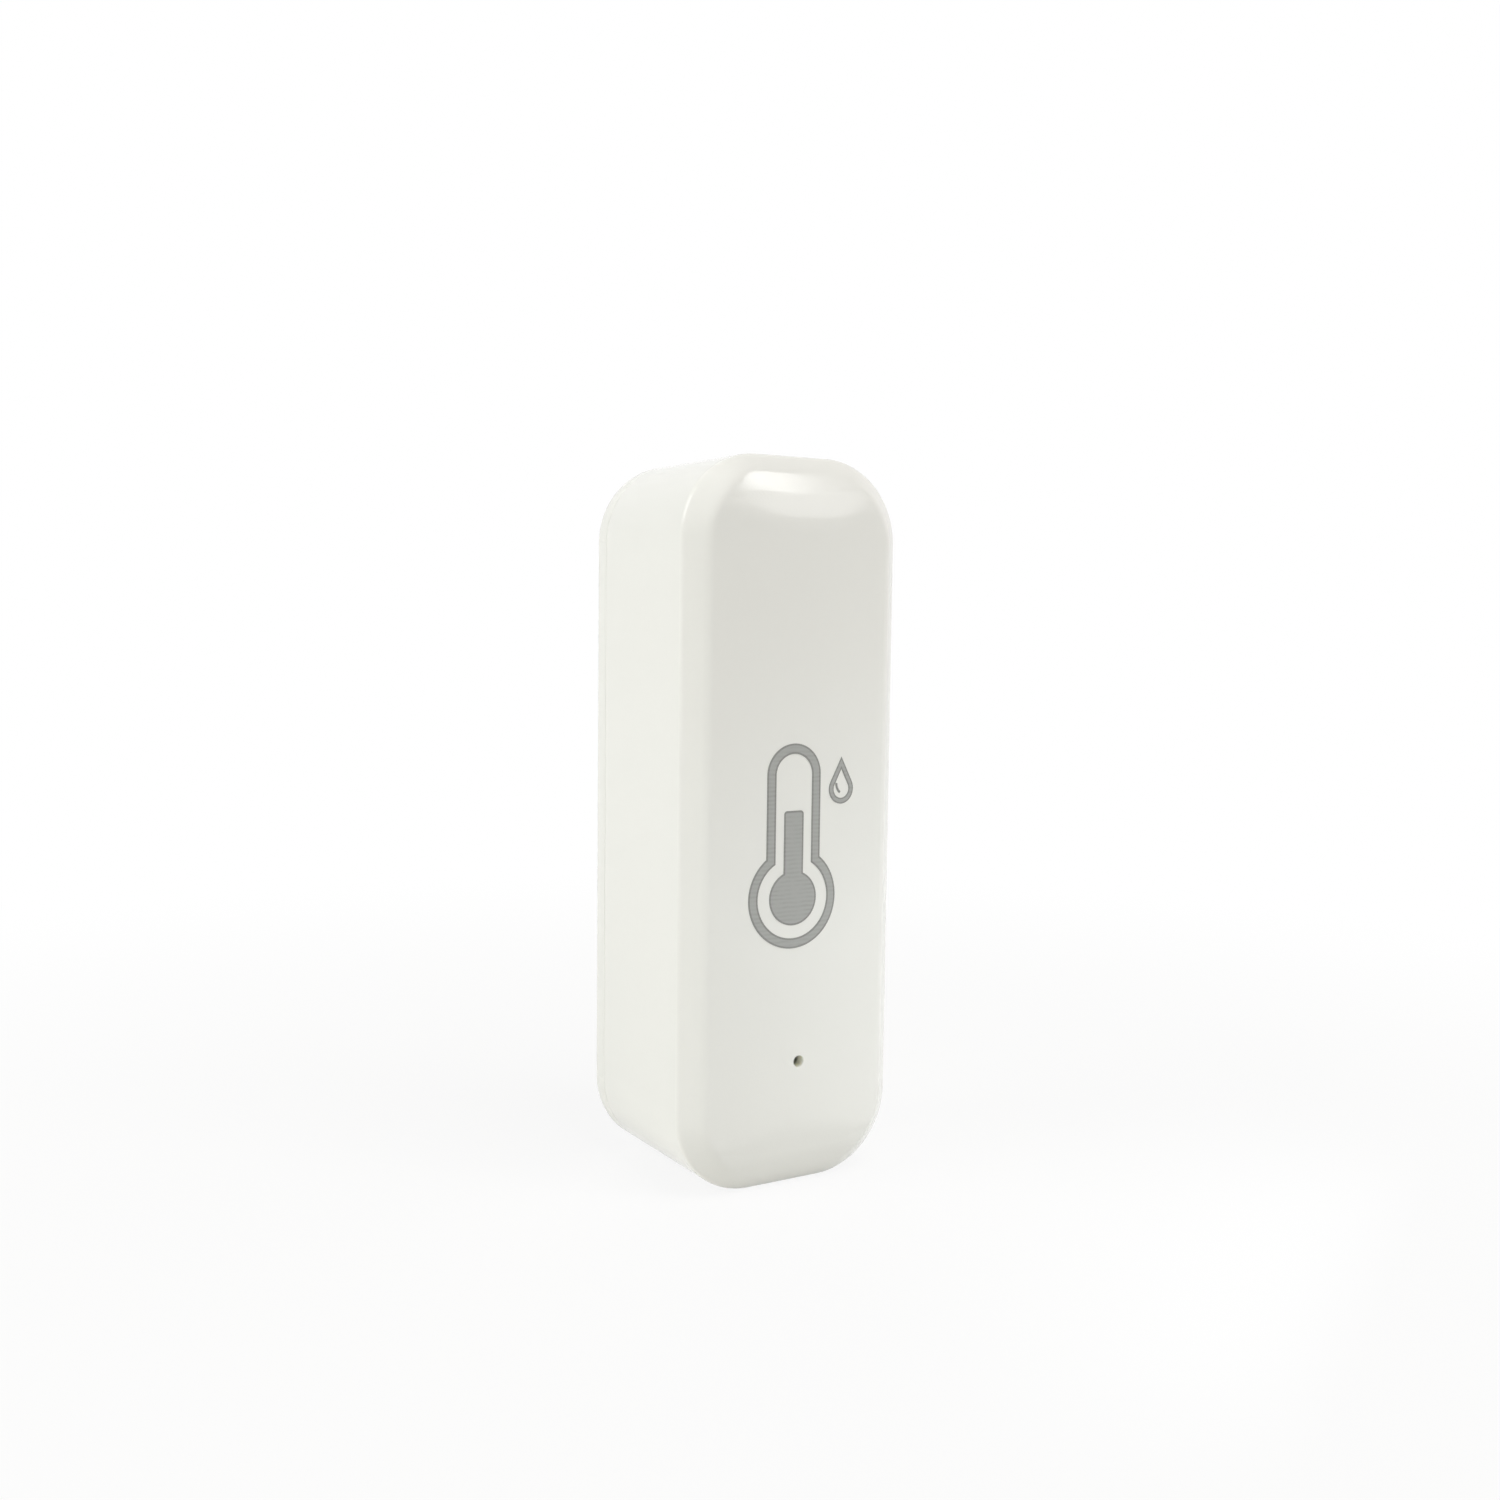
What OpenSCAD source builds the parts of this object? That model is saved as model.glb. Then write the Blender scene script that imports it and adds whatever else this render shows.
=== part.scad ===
// Temperature and humidity sensor: a small upright bar that runs on two AAA cells.
// The front faces -Y, Z is up, and the origin is under the middle of the whole object.
// Inside the modules y is the depth behind the crest of the front, so 0 is the front and case_d the back.

/* [Case] */
// Height of the case
case_h = 72; // [65:0.5:90]
// Width of the case
case_w = 24.5; // [22.1:0.1:30]
// Depth of the case from front to back
case_d = 20.5; // [20.2:0.1:26]
// Wall of the shell
wall = 1.4; // [1.1:0.1:1.5]
// Corner radius of the front outline
corner_r = 8.2; // [6:0.1:9]
// Rise of the front across its width
crown = 1; // [0.5:0.1:1.5]
// Width of the soft band round the front
band_w = 2; // [1.6:0.1:2.4]
// Depth of the band's outer edge
band_d = 2.6; // [2:0.1:3]
// Length over which the front rolls back at each end
end_run = 7.5; // [5:0.5:9]
// Depth by which the front rolls back at each end
end_drop = 2.4; // [1.6:0.1:2.8]

/* [Pin hole and air slots] */
// Diameter of the pin hole in the front
hole_d = 1.1; // [0.8:0.1:1.5]
// Height of the pin hole
hole_z = 12.9; // [12.5:0.1:14]
// Width of one air slot in the lower end
slot_w = 1; // [0.6:0.1:1.4]
// Length of one air slot, front to back
slot_l = 6; // [3:0.5:8]
// Spacing of the air slots
slot_pitch = 2.6; // [2:0.1:3]
// Depth of the air slots' front end
slot_d = 4.2; // [3.8:0.1:5]

/* [Back cover] */
// Depth of the cover's rim, which sets the parting line
cover_rim = 2; // [1.5:0.1:2.5]
// Thickness of the cover's plate
cover_plate = 1.5; // [1.2:0.1:1.7]
// Chamfer of the back edge
back_edge = 0.4; // [0.2:0.1:0.8]
// Length of the lip that enters the shell
lip_h = 1.6; // [1:0.1:2]
// Thickness of the lip
lip_t = 1; // [0.7:0.1:1.2]
// Gap between the lip and the shell
lip_gap = 0.15; // [0.1:0.01:0.3]
// Gap left at the lip's grip ribs
rib_gap = 0.03; // [0.02:0.01:0.08]
// Radius of a grip rib
rib_r = 0.5; // [0.3:0.05:0.7]
// Half width of the notch for prising the cover off
notch_w = 3.5; // [2:0.1:4]
// Depth of that notch
notch_d = 0.7; // [0.4:0.1:0.9]

/* [Adhesive pad] */
// Width of the pad
pad_w = 15; // [10:0.5:17]
// Height of the pad
pad_h = 48; // [30:1:54]
// Thickness of the pad
pad_t = 1; // [0.8:0.1:1.5]
// Depth of the pad's recess in the cover
pad_sunk = 0.6; // [0.3:0.1:0.7]
// Gap round the pad in its recess
pad_gap = 0.2; // [0.1:0.05:0.5]
// Corner radius of the pad
pad_r = 3; // [1:0.5:5]

/* [Cells] */
// Diameter of an AAA cell
cell_d = 10.3; // [9.3:0.1:11.5]
// Length of an AAA cell over its positive nub
cell_l = 44.5; // [43.5:0.1:44.8]
// Diameter of the positive nub
nub_d = 3.8; // [3:0.1:4.2]
// Height of the positive nub
nub_h = 0.85; // [0.7:0.05:1.1]
// Thickness of the printed sleeve
sleeve_t = 0.15; // [0.1:0.01:0.2]
// Gap between the two cells
cells_apart = 0.2; // [0.1:0.05:0.3]
// Gap between a cell and its cradle
cell_gap = 0.15; // [0.1:0.05:0.3]
// Gap between a cell and the pads inside the cover
press_gap = 0.3; // [0.2:0.05:0.5]

/* [Battery tray] */
// Distance from the top of the case down to the tray, which hangs there by its tongue
tray_z = 3.7; // [3:0.1:4.5]
// Thickness of the tray's floor
tray_floor = 1; // [0.8:0.1:1.2]
// Height of the cradle's sides above the floor
cradle_h = 2.6; // [1.5:0.1:3.2]
// Thickness of the tray's end walls
tray_end = 1.2; // [1:0.1:1.4]
// Gap between the tray and the shell
tray_gap = 0.3; // [0.2:0.05:0.5]
// Thickness of the flange that the screws hold
flange_t = 1.8; // [1.2:0.1:2.4]
// Reach of that flange below the screws
flange_h = 3.9; // [2.8:0.1:4.5]
// Width of the tongue at the tray's top
tongue_w = 6; // [4:0.5:7]
// Thickness of that tongue
tongue_t = 1.4; // [1:0.1:2]
// Thickness of the ledge that holds the tongue
ledge_t = 1.2; // [0.8:0.1:2]
// Reach of the ledge from the shell's end wall
ledge_reach = 1.4; // [1:0.1:1.6]

/* [Contacts] */
// Thickness of the contact plates
plate_t = 0.3; // [0.2:0.05:0.4]
// Distance of the plates' outer edge from the middle
plate_x = 9; // [8:0.1:9.2]
// Width of a plate's solder tail
tail_w = 2; // [1:0.1:3]
// Length of a tail in front of the board
tail_out = 0.8; // [0.4:0.1:1.2]
// Height of the dimple that meets a nub
dimple_h = 0.8; // [0.5:0.1:1]
// Room between a plate and a cell's flat end
spring_l = 3.4; // [3.2:0.1:3.6]
// Wire of the springs
spring_wire = 0.5; // [0.4:0.05:0.55]
// Coil radius at the plate
spring_r = 3.4; // [3.2:0.1:3.8]
// Coil radius at the cell
spring_tip_r = 1.8; // [1.5:0.1:2]
// Turns of a spring
spring_turns = 2.5; // [2:0.5:2.5]
// Gap left where a contact meets a cell
touch_gap = 0.05; // [0.02:0.01:0.1]

/* [Boards and screws] */
// Room between the shell's front and the main board
parts_room = 4.4; // [4.2:0.1:4.8]
// Thickness of the main board
board_t = 1; // [0.8:0.1:1.2]
// Gap between the main board and the shell
board_gap = 0.4; // [0.2:0.05:0.6]
// Least distance of the screws below the tray; they sit level with the pin hole where there is room
screw_drop = 3.7; // [3.2:0.1:4.2]
// Distance of each screw from the middle
screw_x = 7; // [6.5:0.1:7.4]
// Diameter of a screw's shank
screw_d = 1.7; // [1.4:0.1:2]
// Length of a screw's shank
screw_l = 6; // [5.5:0.1:6.4]
// Diameter of a screw's head
head_d = 3.2; // [2.6:0.1:3.6]
// Height of a screw's head
head_h = 1.2; // [0.8:0.1:1.5]
// Gap round a screw's shank
screw_gap = 0.05; // [0.03:0.01:0.1]
// Outer diameter of the screw bosses
boss_d = 4.2; // [3.6:0.1:4.6]
// Distance of each locating post from the middle
post_x = 6.5; // [5.5:0.1:7]
// Height of the locating posts
post_z = 61; // [58:0.5:62]
// Diameter of a locating post
post_d = 3.2; // [2.6:0.1:3.6]
// Diameter of the pin on a post
post_pin_d = 1.2; // [0.8:0.1:1.5]
// Gap round the pin in its hole
post_gap = 0.1; // [0.05:0.01:0.2]

/* [Reset switch] */
// Width of the switch
switch_w = 4.5; // [4:0.1:5]
// Height of the switch's base
switch_h = 1.5; // [1.4:0.1:1.7]
// Thickness of the switch's metal frame
frame_t = 0.2; // [0.15:0.05:0.3]
// Diameter of the plunger
plunger_d = 1.8; // [1.5:0.1:2]
// Running gap round the plunger
plunger_gap = 0.07; // [0.03:0.01:0.1]
// Gap between the shell's front wall and the plunger's tip
tip_gap = 0.6; // [0.4:0.1:0.8]
// Travel of the plunger
press = 0.25; // [0.15:0.05:0.3]

/* [Radio and sensor] */
// Width of the radio's board
radio_w = 13; // [11:0.5:15]
// Length of the radio's board
radio_l = 18; // [16:0.5:20]
// Thickness of the radio's board
radio_t = 0.8; // [0.6:0.1:1]
// Height at which the radio's board starts
radio_z = 31; // [29.5:0.5:33]
// Width and length of the metal can
shield_w = 11; // [9:0.5:11]
// Height of the metal can
shield_h = 1.8; // [1.2:0.1:2]
// Width of the sensing chip
chip_w = 2.5; // [2:0.1:3]
// Height of the sensing chip
chip_h = 0.9; // [0.6:0.1:1.2]
// Height of the sensing chip's middle
chip_z = 5.2; // [4.8:0.1:5.6]

/* [Printed signs] */
// Thickness of the print
print_t = 0.05; // [0.03:0.01:0.1]
// Offset of the thermometer's middle line
thermo_x = -0.95; // [-2:0.05:0]
// Height of the bulb's middle
bulb_z = 29.2; // [26:0.1:32]
// Outer radius of the bulb
bulb_r = 4.95; // [4.2:0.05:5.1]
// Outer radius of the tube
tube_r = 3.03; // [2.6:0.05:3.4]
// Height of the tube's top
tube_top = 44.28; // [41:0.1:48]
// Width of the thermometer's outline
line_w = 1; // [0.6:0.05:1.1]
// Radius of the ball in the bulb
ball_r = 2.67; // [2:0.05:3]
// Half width of the column
column_r = 1.1; // [0.7:0.05:1.3]
// Height of the column's top
column_top = 37.75; // [34:0.1:40]
// Offset of the drop's middle line
drop_x = 4.6; // [4:0.05:5.5]
// Radius of the drop
drop_r = 1.49; // [1:0.05:1.8]
// Height of the drop's lowest point
drop_z = 38.17; // [35:0.1:40]
// Height of the whole drop
drop_h = 4.65; // [4:0.05:5.5]
// Width of the drop's outline
drop_line = 0.57; // [0.4:0.01:0.7]

/* [Hidden] */
$fn = 64;
// Length by which a cut runs past the face it opens
cut = 1;

// Front curves: the crown across the width, the roll at the ends and the slope of the band
crown_r = (pow(case_w / 2, 2) + pow(crown, 2)) / (2 * crown);
end_r = (pow(end_run, 2) + pow(end_drop, 2)) / (2 * end_drop);
function crown_at(x, inset = 0) = crown_r - sqrt(pow(crown_r - inset, 2) - x * x);
band_a = atan2(band_d - crown_at(case_w / 2 - band_w), band_w);
function band_depth(inset) = band_d + inset * (1 - sin(band_a)) / cos(band_a);

// Depths, from the front to the back
part_d = case_d - cover_rim;
cover_in = case_d - cover_plate;
lip_d = part_d - lip_h;
board_front = wall + parts_room;
board_back = board_front + board_t;
floor_d = board_back + tray_floor;
cell_r = cell_d / 2;
cell_axis = floor_d + cell_gap + cell_r;
cell_back = cell_axis + cell_r;
cradle_d = floor_d + cradle_h;
tray_back = lip_d - tray_gap;
flange_d = board_back + flange_t;
screw_tip = flange_d - screw_l;
overall_d = case_d - pad_sunk + pad_t;
mid_d = (overall_d - print_t) / 2;

// Heights, from the top down, and the places of the cells across the width
cell_x = (cell_d + cells_apart) / 2;
tongue_top = case_h - wall - tray_gap;
tray_top = case_h - tray_z;
high_wall_z = tray_top - tray_end;
high_face_z = high_wall_z - plate_t;
low_face_z = high_face_z - spring_l - cell_l - dimple_h;
low_plate_z = low_face_z - plate_t;
tray_low = low_plate_z - tray_end;
screw_z = min(hole_z, tray_low - screw_drop);
flange_z = screw_z - flange_h;
cell_a_z = low_face_z + spring_l;
cell_b_z = low_face_z + dimple_h;
body_l = cell_l - nub_h;
end_recess = 0.5;
can_rim = 0.6;
cap_brim = 0.7;
can_r = cell_r - sleeve_t;
seal_r = can_r - can_rim;
cap_r = nub_d / 2 + cap_brim;
cap_t = 0.3;
seal_t = 0.4;
sleeve_lip = 0.5;
lip_in = wall + lip_gap + lip_t;

// Contact plates
plate_edge = 0.8;
plate_foot = floor_d + touch_gap;
plate_top = tray_back - touch_gap;
dimple_skirt = 0.4;
dimple_r = nub_d / 2 + dimple_skirt;
tail_gap = 0.1;

// Switch, from the board to the front: the well leaves the plunger its travel and the dome its room
base_d = board_front - switch_h;
frame_d = base_d - frame_t;
switch_wall = 0.55;
well_r = switch_w / 2 - switch_wall;
flange_room = 0.25;
plunger_flange_r = well_r - flange_room;
plunger_flange_t = 0.3;
seat_gap = 0.02;
plunger_seat = base_d + seat_gap;
plunger_back = plunger_seat + plunger_flange_t;
plunger_tip = wall + tip_gap;
well_spare = 0.23;
well_d = plunger_back + press + well_spare;
rim_room = 0.12;
dome_rim = well_r - rim_room;
dome_t = 0.1;
dome_gap = 0.1;
dome_top = plunger_back + dome_gap;
dome_rise = well_d - dome_top;
dome_r = (pow(dome_rim, 2) + pow(dome_rise, 2)) / (2 * dome_rise);
tab_t = 0.2;
tab_w = 1.6;
tab_h = 0.9;

// Small parts on the front of the main board: middle across, middle height, width, length and height
led = [0, 17.4, 1.6, 0.8, 0.6];
capacitor = [-5.6, 22.6, 3.5, 2.8, 1.9];
inductor = [5.6, 23, 4, 4, 1.8];
crystal = [0, 24.4, 3.2, 1.5, 0.8];
chips = [
    [-3.2, 17.2, 1, 0.5, 0.5], [3.2, 17.2, 1, 0.5, 0.5],
    [-2.2, 21, 1.6, 0.8, 0.8], [1.2, 21, 1, 0.5, 0.5],
    [-1.6, 27.4, 2, 2, 0.8], [2.2, 27.4, 1.6, 0.8, 0.8],
    [-4.6, 27.4, 1, 0.5, 0.5], [5, 27.4, 1, 0.5, 0.5],
    [-3.4, 5.2, 1, 0.5, 0.5], [3.4, 5.2, 1, 0.5, 0.5],
    [-3, 53.5, 4.9, 3.9, 1.5], [3.4, 53.5, 1.6, 0.8, 0.8],
    [3.4, 55.5, 1, 0.5, 0.5]
];
slit_w = 0.8;
slit_l = 5.4;

// Steps round the foot of the printed drop
drop_steps = 32;

// Antenna: a folded copper track on the radio board's free end
track_w = 0.5;
track_t = 0.05;
fold_pitch = 1.6;
fold_count = 5;
fold_h = 4;

// Marks the case's own depth scale: the children's y runs from the front to the back
module placed() {
    translate([0, -mid_d, 0]) children();
}

// Turns a flat shape drawn as width and height into a slab between two depths
module slab(from, to) {
    translate([0, to, 0]) rotate([90, 0, 0]) linear_extrude(to - from) children();
}

// A round bar along the depth
module rod(x, z, r, from, to) {
    translate([x, to, z]) rotate([90, 0, 0]) cylinder(h = to - from, r = r);
}

// A block on the front of the main board, or on another face that is given
module on_board(spot, face = board_front) {
    translate([spot[0] - spot[2] / 2, face - spot[4], spot[1] - spot[3] / 2])
        cube([spot[2], spot[4], spot[3]]);
}

module rounded(w, h, r) {
    square([w, h - 2 * r], center = true);
    square([w - 2 * r, h], center = true);
    for (sx = [-1, 1], sz = [-1, 1]) translate([sx * (w / 2 - r), sz * (h / 2 - r)]) circle(r);
}

// The front outline of the case, drawn in by a given inset
module outline(inset) {
    translate([0, case_h / 2]) rounded(case_w - 2 * inset, case_h - 2 * inset, corner_r - inset);
}

// A block with the case's outline that tapers from its wide depth to its narrow depth
module tapered(wide, narrow, inset, run) {
    w = case_w - 2 * inset;
    r = corner_r - inset;
    deep = max(wide, narrow);
    r_deep = wide > narrow ? r : r - run;
    r_shallow = wide > narrow ? r - run : r;
    low = inset;
    high = case_h - inset;
    for (sx = [-1, 1], z = [low + r, high - r])
        translate([sx * (w / 2 - r), deep, z]) rotate([90, 0, 0])
            cylinder(h = abs(wide - narrow), r1 = r_deep, r2 = r_shallow);
    translate([0, 0, low + r]) linear_extrude(high - low - 2 * r)
        polygon([[-w / 2, wide], [run - w / 2, narrow], [w / 2 - run, narrow], [w / 2, wide]]);
    translate([r - w / 2, 0, 0]) rotate([90, 0, 90]) linear_extrude(w - 2 * r)
        polygon([[wide, low], [narrow, low + run], [narrow, high - run], [wide, high]]);
}

// Everything behind the crowned front
module crown_block(inset) {
    translate([0, crown_r, -cut]) cylinder(h = case_h + 2 * cut, r = crown_r - inset, $fn = 256);
}

// Everything behind the front as it rolls back at the two ends
module end_block(inset, back) {
    translate([-case_w / 2 - cut, 0, 0]) rotate([90, 0, 90]) linear_extrude(case_w + 2 * cut) {
        translate([inset, end_run]) square([back - inset, case_h - 2 * end_run]);
        for (flip = [0, 1]) translate([0, flip * case_h]) mirror([0, flip]) {
            intersection() {
                translate([end_r, end_run]) circle(end_r - inset, $fn = 128);
                translate([0, -cut]) square([end_r, end_run + cut]);
            }
            translate([end_r, -cut]) square([back - end_r, end_run + cut]);
        }
    }
}

// The case's solid form, drawn in by an inset and cut off at a depth
module case_form(inset, back) {
    edge = band_depth(inset);
    intersection() {
        union() {
            tapered(edge, inset, inset, (edge - inset) / tan(band_a));
            slab(edge, back) outline(inset);
        }
        crown_block(inset);
        end_block(inset, back);
    }
}

// The room of the two cells, which the tray, the shell and the cover leave free
module cell_bays() {
    for (sx = [-1, 1])
        translate([sx * cell_x, cell_axis, low_plate_z])
            cylinder(h = high_wall_z - low_plate_z, r = cell_r + cell_gap);
}

module air_slot(x) {
    translate([x, 0, -cut]) linear_extrude(wall + 2 * cut) {
        translate([-slot_w / 2, slot_d + slot_w / 2]) square([slot_w, slot_l - slot_w]);
        for (d = [slot_d + slot_w / 2, slot_d + slot_l - slot_w / 2]) translate([0, d]) circle(slot_w / 2);
    }
}

module front_shell() {
    color("whitesmoke") placed() difference() {
        union() {
            difference() {
                case_form(0, part_d);
                case_form(wall, part_d + cut);
            }
            for (sx = [-1, 1]) {
                rod(sx * screw_x, screw_z, boss_d / 2, wall, board_front);
                rod(sx * post_x, post_z, post_d / 2, wall, board_front);
                rod(sx * post_x, post_z, post_pin_d / 2, board_front, board_back - touch_gap);
            }
            translate([-tongue_w / 2, floor_d + tongue_t + touch_gap, case_h - wall - ledge_reach])
                cube([tongue_w, ledge_t, ledge_reach + wall / 2]);
        }
        rod(0, hole_z, hole_d / 2, -cut, wall + cut);
        for (sx = [-1, 1])
            rod(sx * screw_x, screw_z, screw_d / 2 + screw_gap, screw_tip - cut / 2, board_front + cut);
        for (i = [-1, 0, 1]) air_slot(i * slot_pitch);
        cell_bays();
        translate([-notch_w, part_d - notch_d, -cut]) cube([2 * notch_w, notch_d + cut, cut + wall / 2]);
    }
}

module back_cover() {
    color("white") placed() difference() {
        union() {
            slab(part_d, case_d - back_edge) outline(0);
            tapered(case_d - back_edge, case_d, 0, back_edge);
            slab(lip_d, part_d) outline(wall + lip_gap);
            for (sx = [-1, 1], z = [case_h / 2 - pad_h / 4, case_h / 2 + pad_h / 4])
                rod(sx * (case_w / 2 - wall - rib_gap - rib_r), z, rib_r, lip_d, part_d);
        }
        difference() {
            slab(lip_d - cut, cover_in) outline(lip_in);
            for (sx = [-1, 1])
                translate([sx * cell_x - cell_r / 3, cell_back + press_gap, case_h / 2 - pad_h / 4])
                    cube([2 * cell_r / 3, cover_in - cell_back - press_gap + cut, pad_h / 2]);
        }
        slab(case_d - pad_sunk, case_d + cut) translate([0, case_h / 2])
            rounded(pad_w + 2 * pad_gap, pad_h + 2 * pad_gap, pad_r + pad_gap);
        cell_bays();
    }
}

module adhesive_pad() {
    color("gainsboro") placed() slab(case_d - pad_sunk, overall_d)
        translate([0, case_h / 2]) rounded(pad_w, pad_h, pad_r);
}

// A box across the case between two depths and two heights
module across(from, to, low, high) {
    translate([-case_w / 2, from, low]) cube([case_w, to - from, high - low]);
}

module tail_slots(grow) {
    for (sx = [-1, 1])
        translate([sx * cell_x - tail_w / 2 - grow, board_front - cut, low_plate_z - grow])
            cube([tail_w + 2 * grow, floor_d - board_front + 2 * cut, plate_t + 2 * grow]);
}

module battery_tray() {
    color("dimgray") placed() difference() {
        union() {
            intersection() {
                slab(board_back, tray_back) outline(wall + tray_gap);
                union() {
                    across(board_back, cradle_d, tray_low, tray_top);
                    across(board_back, tray_back, tray_low, low_plate_z);
                    across(board_back, tray_back, high_wall_z, tray_top);
                    across(board_back, flange_d, flange_z, tray_low);
                }
            }
            translate([-tongue_w / 2, floor_d, high_wall_z])
                cube([tongue_w, tongue_t, tongue_top - high_wall_z]);
        }
        cell_bays();
        for (z = [low_plate_z, high_face_z - touch_gap])
            translate([-plate_x - tail_gap, floor_d, z])
                cube([2 * (plate_x + tail_gap), cradle_h + cut, plate_t + touch_gap]);
        for (sx = [-1, 1])
            rod(sx * screw_x, screw_z, screw_d / 2 + screw_gap, board_back - cut, flange_d + cut);
        tail_slots(tail_gap);
    }
}

module main_board() {
    color("darkgreen") placed() difference() {
        slab(board_front, board_back) outline(wall + board_gap);
        for (sx = [-1, 1]) {
            rod(sx * screw_x, screw_z, screw_d / 2 + screw_gap, board_front - cut, board_back + cut);
            rod(sx * post_x, post_z, post_pin_d / 2 + post_gap, board_front - cut, board_back + cut);
        }
        tail_slots(tail_gap);
        translate([-slit_l / 2, board_front - cut, chip_z + chip_w / 2 + slit_w])
            cube([slit_l, board_t + 2 * cut, slit_w]);
    }
}

module radio_board() {
    color("midnightblue") placed() on_board([0, radio_z + radio_l / 2, radio_w, radio_l, radio_t]);
}

module radio_shield() {
    margin = (radio_w - shield_w) / 2;
    color("silver") placed()
        on_board([0, radio_z + margin + shield_w / 2, shield_w, shield_w, shield_h], board_front - radio_t);
}

module radio_antenna() {
    first = -fold_count * fold_pitch / 2;
    base_z = radio_z + radio_l - fold_h - track_w;
    radio_face = board_front - radio_t;
    color("goldenrod") placed() slab(radio_face - track_t, radio_face) for (i = [0:fold_count]) {
        x = first + i * fold_pitch;
        translate([x - track_w / 2, base_z]) square([track_w, fold_h]);
        if (i < fold_count)
            translate([x - track_w / 2, base_z + (i % 2 == 0 ? fold_h - track_w : 0)])
                square([fold_pitch + track_w, track_w]);
    }
}

module humidity_sensor() {
    color("black") placed() on_board([0, chip_z, chip_w, chip_w, chip_h]);
}

module sensor_membrane() {
    chip_face = board_front - chip_h;
    color("white") placed() rod(0, chip_z, chip_w / 3, chip_face - 2 * track_t, chip_face);
}

module switch_base() {
    color("black") placed() difference() {
        on_board([0, hole_z, switch_w, switch_w, switch_h]);
        rod(0, hole_z, well_r, base_d - cut, well_d);
    }
}

module switch_frame() {
    color("silver") placed() {
        difference() {
            on_board([0, hole_z, switch_w, switch_w, frame_t], base_d);
            rod(0, hole_z, plunger_d / 2 + plunger_gap, frame_d - cut, base_d + cut);
        }
        for (sx = [-1, 1]) translate([sx * (switch_w + tab_t) / 2, 0, 0])
            on_board([0, hole_z, tab_t, tab_w, frame_t + tab_h], base_d + tab_h);
    }
}

module switch_dome() {
    color("goldenrod") placed() intersection() {
        translate([0, dome_top + dome_r, hole_z]) difference() {
            sphere(dome_r, $fn = 256);
            sphere(dome_r - dome_t, $fn = 256);
        }
        rod(0, hole_z, dome_rim, dome_top - cut, well_d, $fn = 256);
    }
}

module reset_plunger() {
    color("whitesmoke") placed() {
        rod(0, hole_z, plunger_d / 2, plunger_tip, plunger_back);
        rod(0, hole_z, plunger_flange_r, plunger_seat, plunger_back);
    }
}

module status_led() {
    color("lightyellow") placed() on_board(led);
}

// A contact plate standing across the tray between two distances from the middle
module contact_plate(left, right, z) {
    intersection() {
        translate([left, plate_foot, z]) cube([right - left, plate_top - plate_foot, plate_t]);
        slab(plate_foot, plate_top) outline(wall + tray_gap);
    }
}

module solder_tail(x) {
    translate([x - tail_w / 2, board_front - tail_out, low_plate_z])
        cube([tail_w, plate_foot - board_front + tail_out, plate_t]);
}

// A dimple that stands on a plate and meets a nub
module dimple(x, z, up) {
    translate([x, cell_axis, z]) rotate([up ? 0 : 180, 0, 0])
        cylinder(h = dimple_h - touch_gap, r1 = dimple_r, r2 = nub_d / 2);
}

module positive_plate() {
    color("silver") placed() {
        contact_plate(plate_edge, plate_x, low_plate_z);
        solder_tail(cell_x);
        dimple(cell_x, low_face_z, true);
    }
}

module negative_plate() {
    color("silver") placed() {
        contact_plate(-plate_x, -plate_edge, low_plate_z);
        solder_tail(-cell_x);
    }
}

module bridge_plate() {
    color("silver") placed() {
        contact_plate(-plate_x, plate_x, high_face_z);
        dimple(-cell_x, high_face_z, false);
    }
}

// A conical spring as one tube: it leaves the plate square, winds in, and meets the cell square
curl_rings = 8;
wire_sides = 6;
spring_steps = round(spring_turns * curl_rings);
spring_reach = spring_l - touch_gap;
function spring_point(i) =
    let (
        t = i / spring_steps,
        r = spring_r + (spring_tip_r - spring_r) * t,
        a = 360 * spring_turns * t
    )
    [r * cos(a), r * sin(a), spring_wire + (spring_reach - 2 * spring_wire) * t];
wound = [for (i = [0:spring_steps]) spring_point(i)];
spring_line = concat(
    [[spring_r, 0, 0]],
    wound,
    [[wound[spring_steps][0], wound[spring_steps][1], spring_reach]]
);
function unit(v) = v / norm(v);
function spring_ring(i) =
    let (
        last = len(spring_line) - 1,
        here = spring_line[i],
        ahead = unit(spring_line[min(i + 1, last)] - spring_line[max(i - 1, 0)]),
        out = unit([here[0], here[1], 0]),
        side = unit(out - ahead * (out * ahead)),
        up = cross(ahead, side)
    )
    [
        for (k = [0:wire_sides - 1])
            let (a = 360 * k / wire_sides)
            here + spring_wire / 2 * (side * cos(a) + up * sin(a))
    ];
spring_gap = min([
    for (i = [0:spring_steps], j = [0:spring_steps])
        if (j - i >= curl_rings / 2) norm(wound[j] - wound[i]) - spring_wire
]);
echo(least_gap_between_turns = spring_gap);

module spring_tube() {
    rings = len(spring_line);
    points = [for (i = [0:rings - 1]) each spring_ring(i)];
    walls = [
        for (i = [0:rings - 2], k = [0:wire_sides - 1])
            let (
                a = i * wire_sides + k,
                b = i * wire_sides + (k + 1) % wire_sides
            )
            each [[a, b + wire_sides, b], [a, a + wire_sides, b + wire_sides]]
    ];
    last = (rings - 1) * wire_sides;
    caps = [for (k = [1:wire_sides - 2]) each [[0, k, k + 1], [last, last + k + 1, last + k]]];
    polyhedron(points, concat(walls, caps));
}

module negative_spring() {
    color("lightgray") placed() translate([-cell_x, cell_axis, low_face_z]) spring_tube();
}

module bridge_spring() {
    color("lightgray") placed() translate([cell_x, cell_axis, high_face_z]) rotate([180, 0, 0]) spring_tube();
}

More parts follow.
